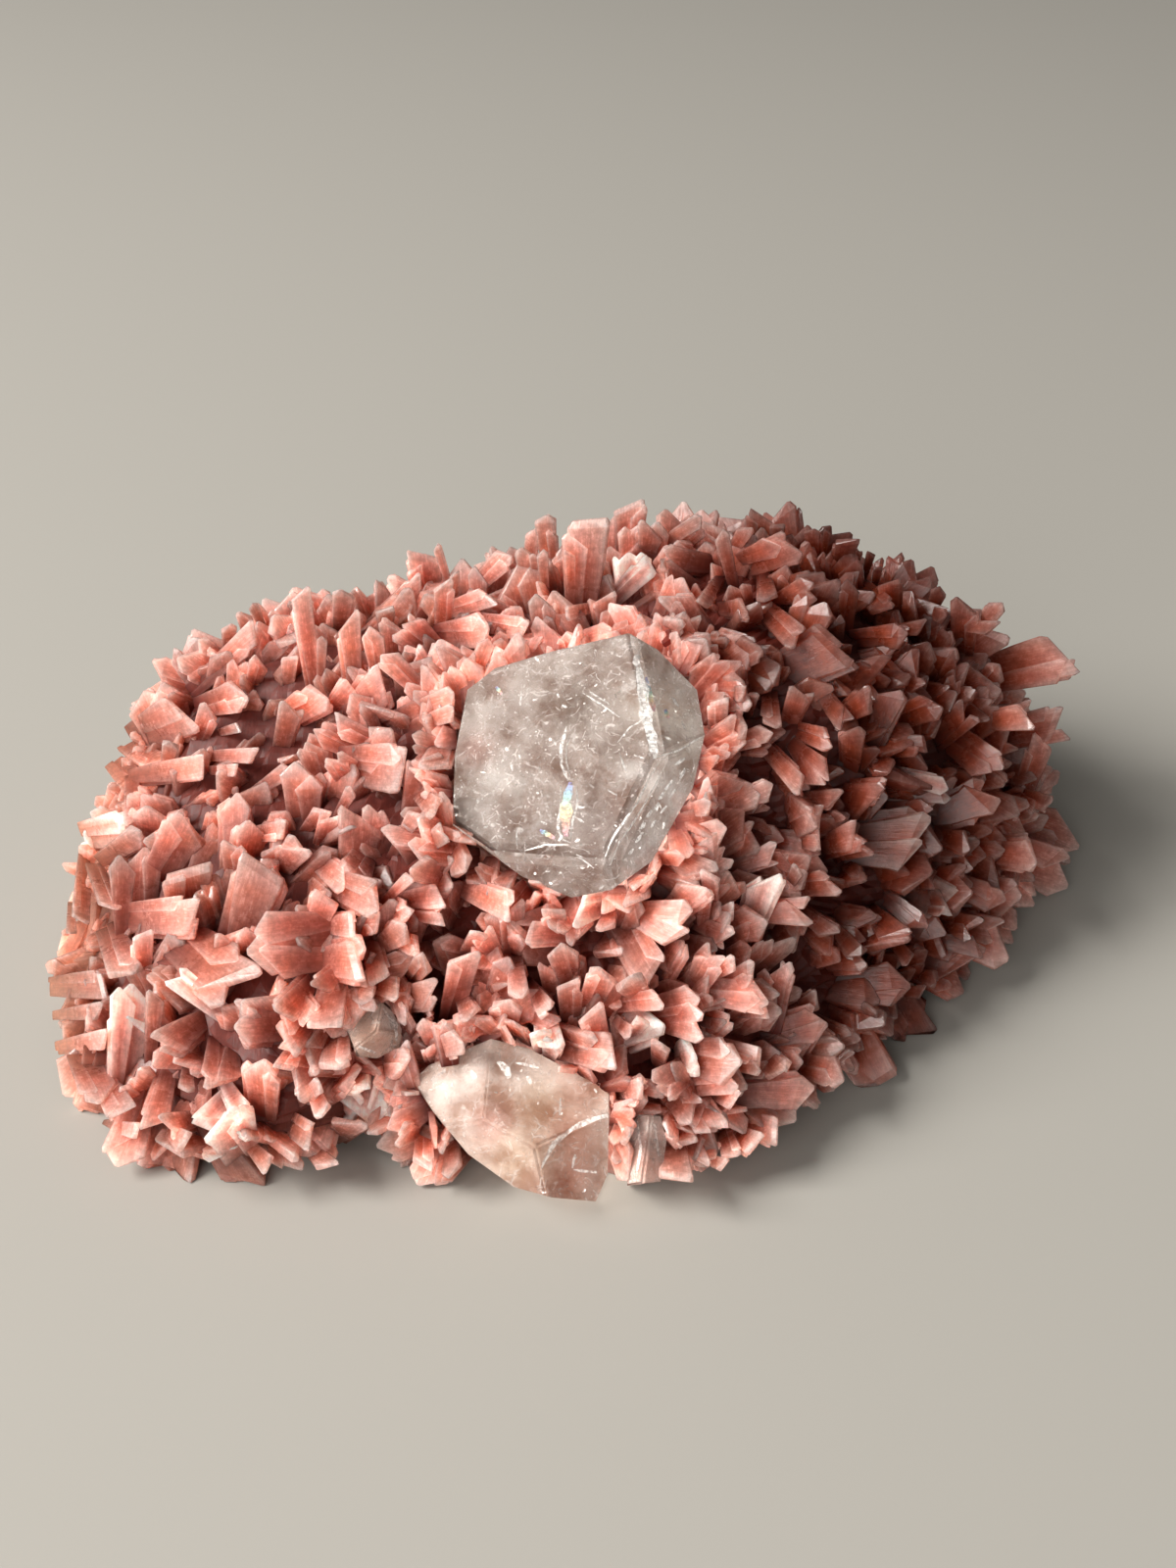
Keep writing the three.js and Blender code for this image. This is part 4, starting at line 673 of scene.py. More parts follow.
class Plates:
    """Plates of stilbite gathered before they are made into one mesh."""

    def __init__(self):
        self.rows = []

    def add(self, root, tip, width, thickness, facing, end, tone, random, lean=0.0, aside=0.0,
            lifted=0.0, buried=ROOT_DEPTH, pale=0.0):
        along = unit(tip - root)
        across = unit(np.cross(along, facing))
        through = np.cross(across, along)
        tip = tip + across * lean
        along = unit(tip - root)
        across = unit(np.cross(along, through))
        through = np.cross(across, along)
        root = root + across * aside + through * lifted
        length = np.linalg.norm(tip - root)
        foot = random.uniform(0.42, 0.66)
        if end == FLAT:
            slant = width * random.uniform(0.08, 0.36) * random.choice([-1, 1])
            bevel = min(0.16 * width, 0.2 * length)
            shoulder = max(length - bevel - abs(slant), 0.4 * length)
            stations = [-buried, 0.45 * length, shoulder, length - abs(slant)]
            widths = [foot, 0.8 + 0.15 * foot, 1.0, random.uniform(0.72, 0.95)]
            thicks = [0.75, 0.95, 1.0, 0.25]
            slants = [0, 0.3 * slant, slant, slant]
            asides = [0, 0, 0, 0]
        else:
            taper = min(width * random.uniform(0.6, 1.25), 0.66 * length)
            point = random.choice([-1, 1]) * random.uniform(0.15, 0.95)
            stations = [-buried, 0.4 * length, length - 0.55 * taper, length]
            widths = [foot, 0.74 + 0.15 * foot, 1.0, 0.1]
            thicks = [0.75, 1.0, 0.95, 0.25]
            slants = [0, 0.1 * point * taper, 0.42 * point * taper, 0]
            asides = [0, 0, 0, point * 0.43 * width]
        self.rows.append((root, along, across, through, width, thickness, length, tone, pale,
                          stations, widths, thicks, slants, asides))

    def make(self, name, material):
        count = len(self.rows)
        root, along, across, through = (np.array([row[k] for row in self.rows]) for k in range(4))
        width, thickness, length, tone, pale = (np.array([row[k] for row in self.rows]) for k in range(4, 9))
        shape = [np.array([row[k] for row in self.rows]) for k in range(9, 14)]
        points = np.zeros((count, RINGS * CORNERS, 3))
        place = np.zeros((count, RINGS * CORNERS, 3))
        look = np.zeros((count, RINGS * CORNERS, 3))
        for ring in range(RINGS):
            stations, widths, thicks, slants, asides = (part[:, ring] for part in shape)
            for corner, (side, face) in enumerate(SECTION):
                distance = stations + slants * side
                beside = asides + 0.5 * width * widths * side
                above = 0.5 * thickness * thicks * face
                spot = ring * CORNERS + corner
                points[:, spot] = (root + along * distance[:, None] + across * beside[:, None]
                                   + through * above[:, None])
                place[:, spot] = np.stack([beside, distance, np.arange(count) * GRAIN_STEP], 1)
                edge = LAST_EDGE if ring == RINGS - 1 else SECTION_EDGE[corner]
                look[:, spot] = np.stack([np.clip(distance / length, 0, 1), edge + pale, tone], 1)
        points = points.reshape(-1, 3)
        points[:, 2] = np.maximum(points[:, 2], LEAST_HEIGHT)
        outside = depth_in_crystals(points).reshape(count, -1).max(1) < 2 * CRYSTAL_CONTACT
        corners = np.arange(CORNERS)
        beside = (corners + 1) % CORNERS
        band = np.stack([corners, beside, CORNERS + beside, CORNERS + corners], 1)
        sides = np.concatenate([ring * CORNERS + band for ring in range(RINGS - 1)])
        last = (RINGS - 1) * CORNERS
        faces = []
        for plate in np.nonzero(outside)[0]:
            start = plate * RINGS * CORNERS
            faces.extend((start + sides).tolist())
            faces.append((start + corners[::-1]).tolist())
            faces.append((start + last + corners).tolist())
        piece = new_piece(name, points, faces, material)
        look = look.reshape(-1, 3)
        # Blades are darker and redder low down near the mass: painted shade in the crevices
        clear_of_crevice_shade = smooth(stand_off(points), *CREVICE_SHADE_STAND_OFF)
        along = look[:, 0] * (0.35 + 0.65 * clear_of_crevice_shade)
        give_look(piece, along, look[:, 1], look[:, 2], region_of(points), place.reshape(-1, 3))


def beside_crystals(place):
    """The place, moved out of any clear crystal through its nearest face."""
    for normals, reach in clear_faces:
        gaps = reach - normals @ place
        if gaps.min() > -CRYSTAL_CONTACT:
            place = place + normals[gaps.argmin()] * (gaps.min() + CRYSTAL_CONTACT)
    return place


def clear_of_crystals(root, tip):
    """The root, moved along its blade to where the blade leaves any clear crystal, or None."""
    for share in (0, 0.15, 0.3, 0.45, 0.6):
        start = root + (tip - root) * share if share else root
        steps = start + (tip - start) * np.linspace(0, 1, 5)[:, None]
        if depth_in_crystals(steps).max() < CRYSTAL_CONTACT:
            return start
    return None


def grow_bundle(plates, root, tip, width, facing, end, random):
    """One blade: its main plate and one or two lower ones grown along it."""
    root = beside_crystals(root)
    start = clear_of_crystals(root, tip)
    if start is None:
        return
    deep = root - unit(tip - root) * ROOT_DEPTH
    buried = ROOT_DEPTH if start is root and depth_in_crystals(deep[None])[0] < 0 else 0.1
    tone = random.uniform(0.1, 0.9)
    pale = 0.0
    # Paler blades here, partly painted highlights where they catch the light
    if in_any(on_sheet(np.array([(root + 2 * tip) / 3])), PALE_AND_HIGHLIGHT_PLACES)[0] > 0:
        tone = 1.0
        pale = 0.8
    thickness = min(0.17 * width + 0.25, 1.1) * random.uniform(0.75, 1.3)
    shared = {"buried": buried, "pale": pale}
    if end == FAN:
        for side in (-1, 1):
            plates.add(start, tip, 0.62 * width, thickness, facing, SPEAR, tone, random,
                       lean=side * 0.34 * width, **shared)
        return
    plates.add(start, tip, width, thickness, facing, end, tone, random, **shared)
    for _ in range(int(width > TWO_PLATES_WIDTH) + int(width > THREE_PLATES_WIDTH)):
        share = random.uniform(0.4, 0.72)
        side = random.choice([-1, 1]) * (0.56 - 0.45 * share) * width
        reach = start + (tip - start) * random.uniform(0.7, 0.97)
        plates.add(
            start, reach, share * width, thickness * random.uniform(0.6, 0.9), facing,
            end if random.random() < 0.6 else SPEAR,
            np.clip(tone + random.uniform(-0.2, 0.2), 0, 1), random,
            lean=random.uniform(-0.05, 0.05) * width, aside=side,
            lifted=random.choice([-1, 1]) * random.uniform(0.25, 0.5) * thickness, **shared,
        )


random = np.random.default_rng(BLADE_SEED)
seen_plates = Plates()
seen_roots = []
seen_leans = []
for index, (root_across, root_up, tip_across, tip_up, width, *end) in enumerate(SEEN_BLADES):
    root_distance, root = root_on_mass(root_across, root_up)
    line = sight_line(tip_across, tip_up)
    behind = distance_to_mass(line)
    behind = root_distance if behind is None else behind
    lift = TIP_LIFT[0] + (TIP_LIFT[1] - TIP_LIFT[0]) * scatter(index + LIFT_SEED)
    reach = np.clip(behind, root_distance - TIP_REACH[0], root_distance + TIP_REACH[1])
    tip = EYE + line * (reach - lift)
    facing = -line
    facing[0] += FACE_TURN * (scatter(index + TURN_SEED) - 0.5)
    seen_roots.append(root)
    root = root + unit(root - EYE) * ROOT_SINK
    seen_leans.append(unit(tip - root))
    grow_bundle(seen_plates, root, tip, WIDENING * width, facing, end[0] if end else SPEAR, random)
blade_material = stilbite_material("stilbite blades", 1.0, 0.24)
seen_plates.make("stilbite_blades_seen", blade_material)

# The stilbite growth between and behind the seen blades
# The same crystals: lower ones between the seen blades, leaning as their neighbours do, and
# full-size ones over the crest, the ends and the steep far side, leaning every way.
GROWTH_SEED = 5
GROWTH_TRIES = 26000
GAP_SPACING = 2.8
WALL_SPACING = 2.9
GAP_SINK = 3.4
COLLAR_REACH = 3.2
COLLAR_SPACING = 1.6
COLLAR_TRIES = 6
GROWTH_PIECES = 3
NEIGHBOURS = 4
GROWTH_SPOKES = 160
GROWTH_SPLIT = 18
GROWTH_LENGTH = 4.4
GROWTH_WIDTH = 3.5
FLAT_SHARE = 0.08
COLLAR_WIDTHS = (1.8, 3.4)
COLLAR_LENGTHS = (1.6, 4.2)
COLLAR_SINK = 2.0


def crowded(kept, place, spacing):
    """Whether a place is nearer to a kept one than the spacing."""
    return len(kept) > 0 and np.min(np.sum((kept - place) ** 2, 1)) < spacing ** 2


def part_of(place):
    """The gathered plates of the left end, the middle or the right end."""
    return growth[int(place[0] > -GROWTH_SPLIT) + int(place[0] > GROWTH_SPLIT)]


points, triangles = dome_grid(GROWTH_SPOKES)
first, second, third = (points[triangles[:, k]] for k in range(3))
spans = np.cross(second - first, third - first)
areas = np.linalg.norm(spans, axis=1) / 2
random = np.random.default_rng(GROWTH_SEED)
chosen = random.choice(len(triangles), GROWTH_TRIES, p=areas / areas.sum())
mix = random.random((GROWTH_TRIES, 2))
mix = np.where(mix.sum(1)[:, None] > 1, 1 - mix, mix)
places = first[chosen] + mix[:, :1] * (second - first)[chosen] + mix[:, 1:] * (third - first)[chosen]
normals = spans[chosen] / (2 * areas[chosen])[:, None]
toward_eye = EYE - places
toward_eye /= np.linalg.norm(toward_eye, axis=1)[:, None]
seen_share = smooth((normals * toward_eye).sum(1), -0.05, 0.25)
crystal_depth = depth_in_crystals(places)
in_cavity = in_any(on_sheet(places), CAVITIES)
kept = np.zeros((0, 3))
growth = [Plates() for _ in range(GROWTH_PIECES)]
seen_roots = np.array(seen_roots)
seen_leans = np.array(seen_leans)
for index in range(GROWTH_TRIES):
    place = places[index]
    if crystal_depth[index] > 0 or (in_cavity[index] > 0 and seen_share[index] > 0.5):
        continue
    spacing = WALL_SPACING + (GAP_SPACING - WALL_SPACING) * seen_share[index]
    if crowded(kept, place, spacing):
        continue
    kept = np.vstack([kept, place])
    away = np.linalg.norm(seen_roots - place, axis=1) + 0.5
    nearest = np.argsort(away)[:NEIGHBOURS]
    neighbour_lean = unit((seen_leans[nearest] / away[nearest][:, None] ** 2).sum(0))
    like = seen_share[index] * smooth(-away[nearest[0]], -9, -3)
    lean = random.uniform(-0.5, 0.5, 3) * (1.1 + 0.5 * random.random())
    along = normals[index] * (1 - 0.7 * like) + neighbour_lean * like * 1.1 + lean
    toward = along @ toward_eye[index]
    flatter = seen_share[index] * (random.uniform(0.15, 0.6) * np.linalg.norm(along) - toward)
    along = unit(along + toward_eye[index] * min(flatter, 0))
    facing = unit(random.uniform(-1, 1, 3) * 0.6 + toward_eye[index])
    full = 1 - seen_share[index]
    size = random.uniform(0.7, 1.25) + 0.45 * random.random() ** 3
    rim = smooth(-place[0], 46, 56)
    length = (size * (GROWTH_LENGTH + 0.6 * full) + 1.0) * (1 - 0.35 * rim)
    width = size * GROWTH_WIDTH
    end = FLAT if random.random() < FLAT_SHARE else SPEAR
    place = place - normals[index] * (GAP_SINK - 0.7 * full + 0.7 * like)
    tip = place + along * length
    grow_bundle(part_of(place), place, tip, width, facing, end, random)
collar_depth = np.where(in_cavity > 0, -9, crystal_depth)
kept = np.zeros((0, 3))
for index in np.nonzero((collar_depth > -COLLAR_REACH) & (collar_depth < 0.2))[0]:
    place = places[index]
    if crowded(kept, place, COLLAR_SPACING):
        continue
    kept = np.vstack([kept, place])
    gaps = [(reach - normals_here @ place).min() for normals_here, reach in clear_faces]
    normals_here, reach = clear_faces[int(np.argmax(gaps))]
    face = normals_here[(reach - normals_here @ place).argmin()]
    width = random.uniform(*COLLAR_WIDTHS)
    for _ in range(COLLAR_TRIES):
        along = unit(normals[index] + face * random.uniform(0.1, 0.9) + random.uniform(-0.8, 0.8, 3))
        facing = unit(toward_eye[index] + random.uniform(-1, 1, 3) * 0.8)
        half_across = unit(np.cross(along, facing)) * 0.45 * width
        tip = place + along * random.uniform(*COLLAR_LENGTHS)
        ends = np.array([place, place, tip, tip])
        corners = ends + np.array([half_across, -half_across, half_across, -half_across])
        if depth_in_crystals(corners).max() < CRYSTAL_CONTACT:
            root = place - along * COLLAR_SINK
            grow_bundle(part_of(place), root, tip, width, facing, SPEAR, random)
            break
for number, plates in enumerate(growth):
    plates.make("stilbite_growth_%d" % (number + 1), blade_material)

# The clear apophyllite crystals
# Colourless blocky crystals with flat glassy faces, grown into seats in the stilbite. They keep
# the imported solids, with sharp edges barely softened and faint growth steps on the faces.
GLASS_IOR = 1.535
EDGE_SOFTENING = 0.00012
LARGE, FRONT, SIDE, SMALL = range(4)
STEP_SCALE = 700.0
STEP_HEIGHT = 0.0002
CLEAR_SHADOW = (0.96, 0.955, 0.95, 1)

growth_steps, wanted, given = new_group(
    "growth steps", {"Scale": "Float", "Frost": "Float"}, {"Height": "Float", "Roughness": "Float"},
)
tree = growth_steps
where = put(tree, "ShaderNodeTexCoord").outputs["Object"]
fine = noise(tree, where, wanted["Scale"], 4.0, 0.6)
broad = noise(tree, where, 160.0, 2.0, 0.5)
relief = calc(tree, "ADD", times(tree, fine, 0.4), broad)
frosted = times(tree, spread(tree, fine, 0.35, 0.75, 0.2, 1.0), wanted["Frost"])
feed(tree, given, {"Height": relief, "Roughness": frosted})


def open_in_shadow(tree, shader, color):
    """The shader, see-through with this colour to the rays that ask for shadow."""
    open_to_light = put(tree, "ShaderNodeBsdfTransparent", {"Color": color})
    shadow = put(tree, "ShaderNodeLightPath").outputs["Is Shadow Ray"]
    return mix_shaders(tree, shadow, shader, open_to_light)


def clear_material(name, color, absorbing, density, ripple, frost):
    material, tree, shader = new_material(name)
    read = {"Scale": STEP_SCALE, "Frost": frost}
    steps = put(tree, "ShaderNodeGroup", read, node_tree=growth_steps).outputs
    read = {"Height": steps["Height"], "Strength": ripple, "Distance": STEP_HEIGHT}
    bump = put(tree, "ShaderNodeBump", read)
    feed(tree, shader, {
        "Base Color": color, "Transmission Weight": 1.0, "IOR": GLASS_IOR,
        "Roughness": steps["Roughness"], "Normal": bump.outputs["Normal"],
    })
    lit = open_in_shadow(tree, shader, CLEAR_SHADOW)
    body = put(tree, "ShaderNodeVolumeAbsorption", {"Color": absorbing, "Density": density})
    feed(tree, tree.nodes["Material Output"], {"Surface": lit.outputs[0], "Volume": body.outputs[0]})
    return material


clear = clear_material("clear apophyllite", tone_of("#fdfcfa"), tone_of("#f4f1ec"), 6.0, 0.25, 0.06)
milky = clear_material("milky apophyllite", tone_of("#fdf8f3"), tone_of("#f6e6da"), 15.0, 0.8, 0.3)
for node in CLEAR_NODES:
    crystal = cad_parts[node]
    crystal.data.materials.clear()
    crystal.data.materials.append(clear if node == "apophyllite_large" else milky)
    softened = crystal.modifiers.new("softened edges", "BEVEL")
    softened.width = EDGE_SOFTENING
    softened.segments = 1

# The clouds inside the clear crystals
# Veils of tiny fluid inclusions that follow the crystal's growth zones: thin white wisps under
# the faces and a dense milky heart, whose tints hold painted light in places: warmth from the
# stilbite below and brightness on the facets that the heart shades.
FACE_GAP = 0.3
MILKY_GAP = 0.14
CLOUD_EDGE = 0.9
CLOUD_CUTS = 5
CLOUD_WAVES = 6
DEEPEST_SHARE = 0.4
WISP = {"name": "wisps", "low": 0.0, "high": 0.8, "scale": 300.0, "glow": 0.5, "open": 0.97}
HEART = {"name": "heart", "low": 0.78, "high": 1.0, "scale": 240.0, "glow": 0.5, "open": 0.82}
MILK = {"name": "milk", "low": 0.94, "high": 1.0, "scale": 240.0, "glow": 0.38, "open": 0.8}
PALE_MILK = {"name": "pale milk", "low": 0.9, "high": 1.0, "scale": 240.0, "glow": 0.1, "open": 0.9}

crystal_clouds, wanted, given = new_group(
    "crystal clouds",
    {"Tint": "Color", "Low": "Float", "High": "Float", "Scale": "Float"},
    {"Color": "Color", "Alpha": "Float"},
)
tree = crystal_clouds
where = put(tree, "ShaderNodeTexCoord").outputs["Object"]
patches = spread(tree, noise(tree, where, 230.0, 6.0, 0.68), 0.4, 0.62)
ridges = {"Vector": where, "Scale": wanted["Scale"], "Detail": 5.0, "Roughness": 0.62, "Offset": 0.9,
          "Gain": 2.2, "Distortion": 0.4}
ridges = put(tree, "ShaderNodeTexNoise", ridges, noise_type="RIDGED_MULTIFRACTAL", normalize=False)
threads = spread(tree, ridges.outputs["Fac"], 1.5, 2.5)
bent = put(tree, "ShaderNodeTexNoise", {"Vector": where, "Scale": 260.0, "Detail": 2.0}).outputs["Color"]
bent = put(tree, "ShaderNodeVectorMath", {0: bent, 1: (0.004, 0.004, 0.004)}, operation="MULTIPLY").outputs[0]
bent = put(tree, "ShaderNodeVectorMath", {0: where, 1: bent}, operation="ADD").outputs[0]
cells = put(tree, "ShaderNodeTexVoronoi", {"Vector": bent, "Scale": 420.0}, feature="DISTANCE_TO_EDGE")
cracks = spread(tree, cells.outputs["Distance"], 0.05, 0.0)
broken = spread(tree, noise(tree, where, 900.0, 3.0, 0.6), 0.5, 0.62)
specks = put(tree, "ShaderNodeTexVoronoi", {"Vector": where, "Scale": 1500.0}).outputs["Distance"]
specks = times(tree, spread(tree, specks, 0.2, 0.1), spread(tree, patches, 0.3, 0.7))
veil = calc(tree, "ADD", times(tree, threads, 0.55), times(tree, patches, 0.35), clamp=True)
veil = calc(tree, "ADD", veil, times(tree, cracks, broken), clamp=True)
thick = calc(tree, "ADD", veil, times(tree, specks, 0.8), clamp=True)
covered = spread(tree, thick, 0.0, 1.0, wanted["Low"], wanted["High"])
deep = blend_colors(tree, 1.0, wanted["Tint"], tone_of("#c2a99d"), "MULTIPLY")
color = blend_colors(tree, patches, deep, wanted["Tint"])
color = blend_colors(tree, times(tree, thick, 0.75), color, tone_of("#ece8e6"))
feed(tree, given, {"Color": color, "Alpha": covered})


def cloud_material(kind):
    material, tree, shader = new_material("apophyllite " + kind["name"])
    tint = put(tree, "ShaderNodeAttribute", attribute_name="tint").outputs["Color"]
    read = {"Tint": tint, "Low": kind["low"], "High": kind["high"], "Scale": kind["scale"]}
    clouds = put(tree, "ShaderNodeGroup", read, node_tree=crystal_clouds).outputs
    feed(tree, shader, {"Base Color": clouds["Color"], "Alpha": clouds["Alpha"], "Roughness": 0.5})
    glow = put(tree, "ShaderNodeBsdfTranslucent", {"Color": clouds["Color"]})
    veiled = put(tree, "ShaderNodeBsdfTransparent")
    glowing = mix_shaders(tree, clouds["Alpha"], veiled, glow)
    lit_through = mix_shaders(tree, kind["glow"], shader, glowing)
    lit = open_in_shadow(tree, lit_through, (kind["open"],) * 3 + (1,))
    feed(tree, tree.nodes["Material Output"], {"Surface": lit.outputs[0]})
    return material


def front_of(number, across, up):
    """Where a sight line enters a clear crystal, and the way that it runs on inside."""
    line = sight_line(across, up)
    normals, reach = clear_faces[number]
    turned = normals @ line
    front = turned < -1e-6
    distances = (reach[front] - normals[front] @ EYE) / turned[front]
    nearest = distances.argmax()
    normal = normals[front][nearest]
    bend = 1 / GLASS_IOR
    slope = -normal @ line
    inward = bend * line + (bend * slope - np.sqrt(1 - bend ** 2 * (1 - slope ** 2))) * normal
    return EYE + line * distances[nearest], inward


def cloud_body(name, number, depth, ragged, base, spots, material, seed):
    """A ragged body inside a clear crystal, tinted around the given sheet places."""
    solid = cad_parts[CLEAR_NODES[number]].data
    body = bmesh.new()
    body.from_mesh(solid)
    for _ in range(CLOUD_CUTS):
        long = [edge for edge in body.edges if edge.calc_length() > CLOUD_EDGE * MM]
        bmesh.ops.subdivide_edges(body, edges=long, cuts=1)
        bmesh.ops.triangulate(body, faces=body.faces)
    body.verts.ensure_lookup_table()
    places = np.array([vertex.co for vertex in body.verts]) / MM
    faces = [[vertex.index for vertex in face.verts] for face in body.faces]
    body.free()
    normals, reach = clear_faces[number]
    middle = places.mean(0)
    reach_here = np.mean(reach - normals @ middle)
    random = np.random.default_rng(seed)
    wave = random.uniform(0.5, 1.4, (CLOUD_WAVES, 3)) * random.choice([-1, 1], (CLOUD_WAVES, 3))
    lumps = np.sin(places @ wave.T + random.uniform(0, 6, CLOUD_WAVES)).mean(1)
    face_gap = FACE_GAP if number == LARGE else MILKY_GAP
    places = middle + (places - middle) * (1 - face_gap / reach_here)
    inward = places - EYE
    inward /= np.linalg.norm(inward, axis=1)[:, None]
    turned = inward @ normals.T
    behind = (reach - places @ normals.T) / np.where(turned > 1e-3, turned, np.nan)
    thickness = np.nanmin(np.where(turned > 1e-3, behind, np.nan), axis=1)
    sink = depth + ragged * lumps
    sink = np.minimum(np.maximum(sink, 0), DEEPEST_SHARE * thickness)
    places = places + inward * sink[:, None]
    tint = np.tile(np.array(tone_of(base)), (len(places), 1))
    for across, up, radius, code in spots:
        start, inward = front_of(number, across, up)
        away = np.linalg.norm(np.cross(places - start, inward), axis=1)
        share = np.exp(-(away / radius) ** 2)[:, None]
        tint = tint * (1 - share) + np.array(tone_of(code)) * share
    piece = new_piece(name, places, faces, material)
    store(piece, "tint", "FLOAT_COLOR", "color", tint)


# Base tint, and places with their own tint: across, up, radius, colour. The near-white places on
# the large crystal's right facets are painted light, where the heart would shade them; the front
# crystal's near-white place near its top is partly a painted highlight; the warm places are partly
# painted light from the stilbite that shows through; and the small crystal's tints are as light
# as they go, partly painted light, as blades shade it.
CLOUD_TINTS = {
    LARGE: ("#b7a89e", [
        (-9.2, 0.0, 2.6, "#d7d2cd"), (-8.0, 8.0, 1.6, "#cfc9c5"), (-10.0, -3.0, 2.0, "#c3bbb6"),
        (-5.5, -7.5, 2.4, "#bbb1ac"), (8.0, 7.0, 3.0, "#fbfbf4"), (8.0, -1.5, 3.2, "#fbfbfb"),
        (5.0, -6.0, 2.8, "#fbfbfb"), (-1.0, 8.0, 3.0, "#aaa29a"), (1.5, -4.5, 3.0, "#9b867c"),
        (-11.5, 3.5, 1.8, "#af7f6f"), (-9.5, 10.5, 1.6, "#b49b90"), (3.0, 4.0, 2.5, "#a09085"),
    ]),
    FRONT: ("#e6cfc0", [
        (-13.5, -31.5, 3.2, "#e9e0dc"), (-8.0, -29.0, 2.6, "#f2e9e5"), (-5.0, -33.0, 2.6, "#eddcc8"),
        (-9.5, -34.5, 1.8, "#e2b4a8"), (-0.5, -31.0, 2.0, "#e6c3b3"), (-1.5, -36.5, 2.6, "#d39a7e"),
        (-2.0, -40.0, 2.6, "#d2957c"), (-7.5, -38.5, 2.6, "#ecd8c2"),
    ]),
    SIDE: ("#f3d3c8", [(5.5, -35.5, 1.6, "#faeeea"), (6.0, -38.5, 1.6, "#f0c8bb")]),
    SMALL: ("#ffe6d8", [(-20.0, -24.5, 1.4, "#ffffff"), (-22.5, -25.5, 1.5, "#ffdcc8")]),
}
wisps, heart, milk, pale_milk = (cloud_material(kind) for kind in (WISP, HEART, MILK, PALE_MILK))
HEARTS = {LARGE: heart, FRONT: milk, SIDE: milk, SMALL: pale_milk}
CLOUD_DEPTHS = {
    LARGE: (0.9, 2.4, 5.0), FRONT: (0.4, 0.9, 1.6), SIDE: (0.2, 0.4, 0.7), SMALL: (0.2, 0.35, 0.6),
}
for number, node in enumerate(CLEAR_NODES):
    base, spots = CLOUD_TINTS[number]
    upper, lower, deepest = CLOUD_DEPTHS[number]
    for name, depth, ragged, tone, material, seed in [
        ("_wisps_1", upper, 0.25, "#d6cfcb", wisps, 31), ("_wisps_2", lower, 0.2, "#cbc3be", wisps, 41),
        ("_heart", deepest, 0.08, base, HEARTS[number], 51),
    ]:
        cloud_body(node + name, number, depth, ragged * depth, tone, spots, material, seed + number)

# Fractures and flecks in the clear crystals
# Healed cracks that catch the light as white threads, a few with painted rainbow colours that
# stand for the iridescence of a crack as thin as a film; white lines along some edges, which are
# painted highlights; and scattered bright flecks near the faces.
FLECK_SEED = 61
FLECK_CORNERS = 5
DEEPEST_FLECK = 1.3
LEAST_COVER = 0.05
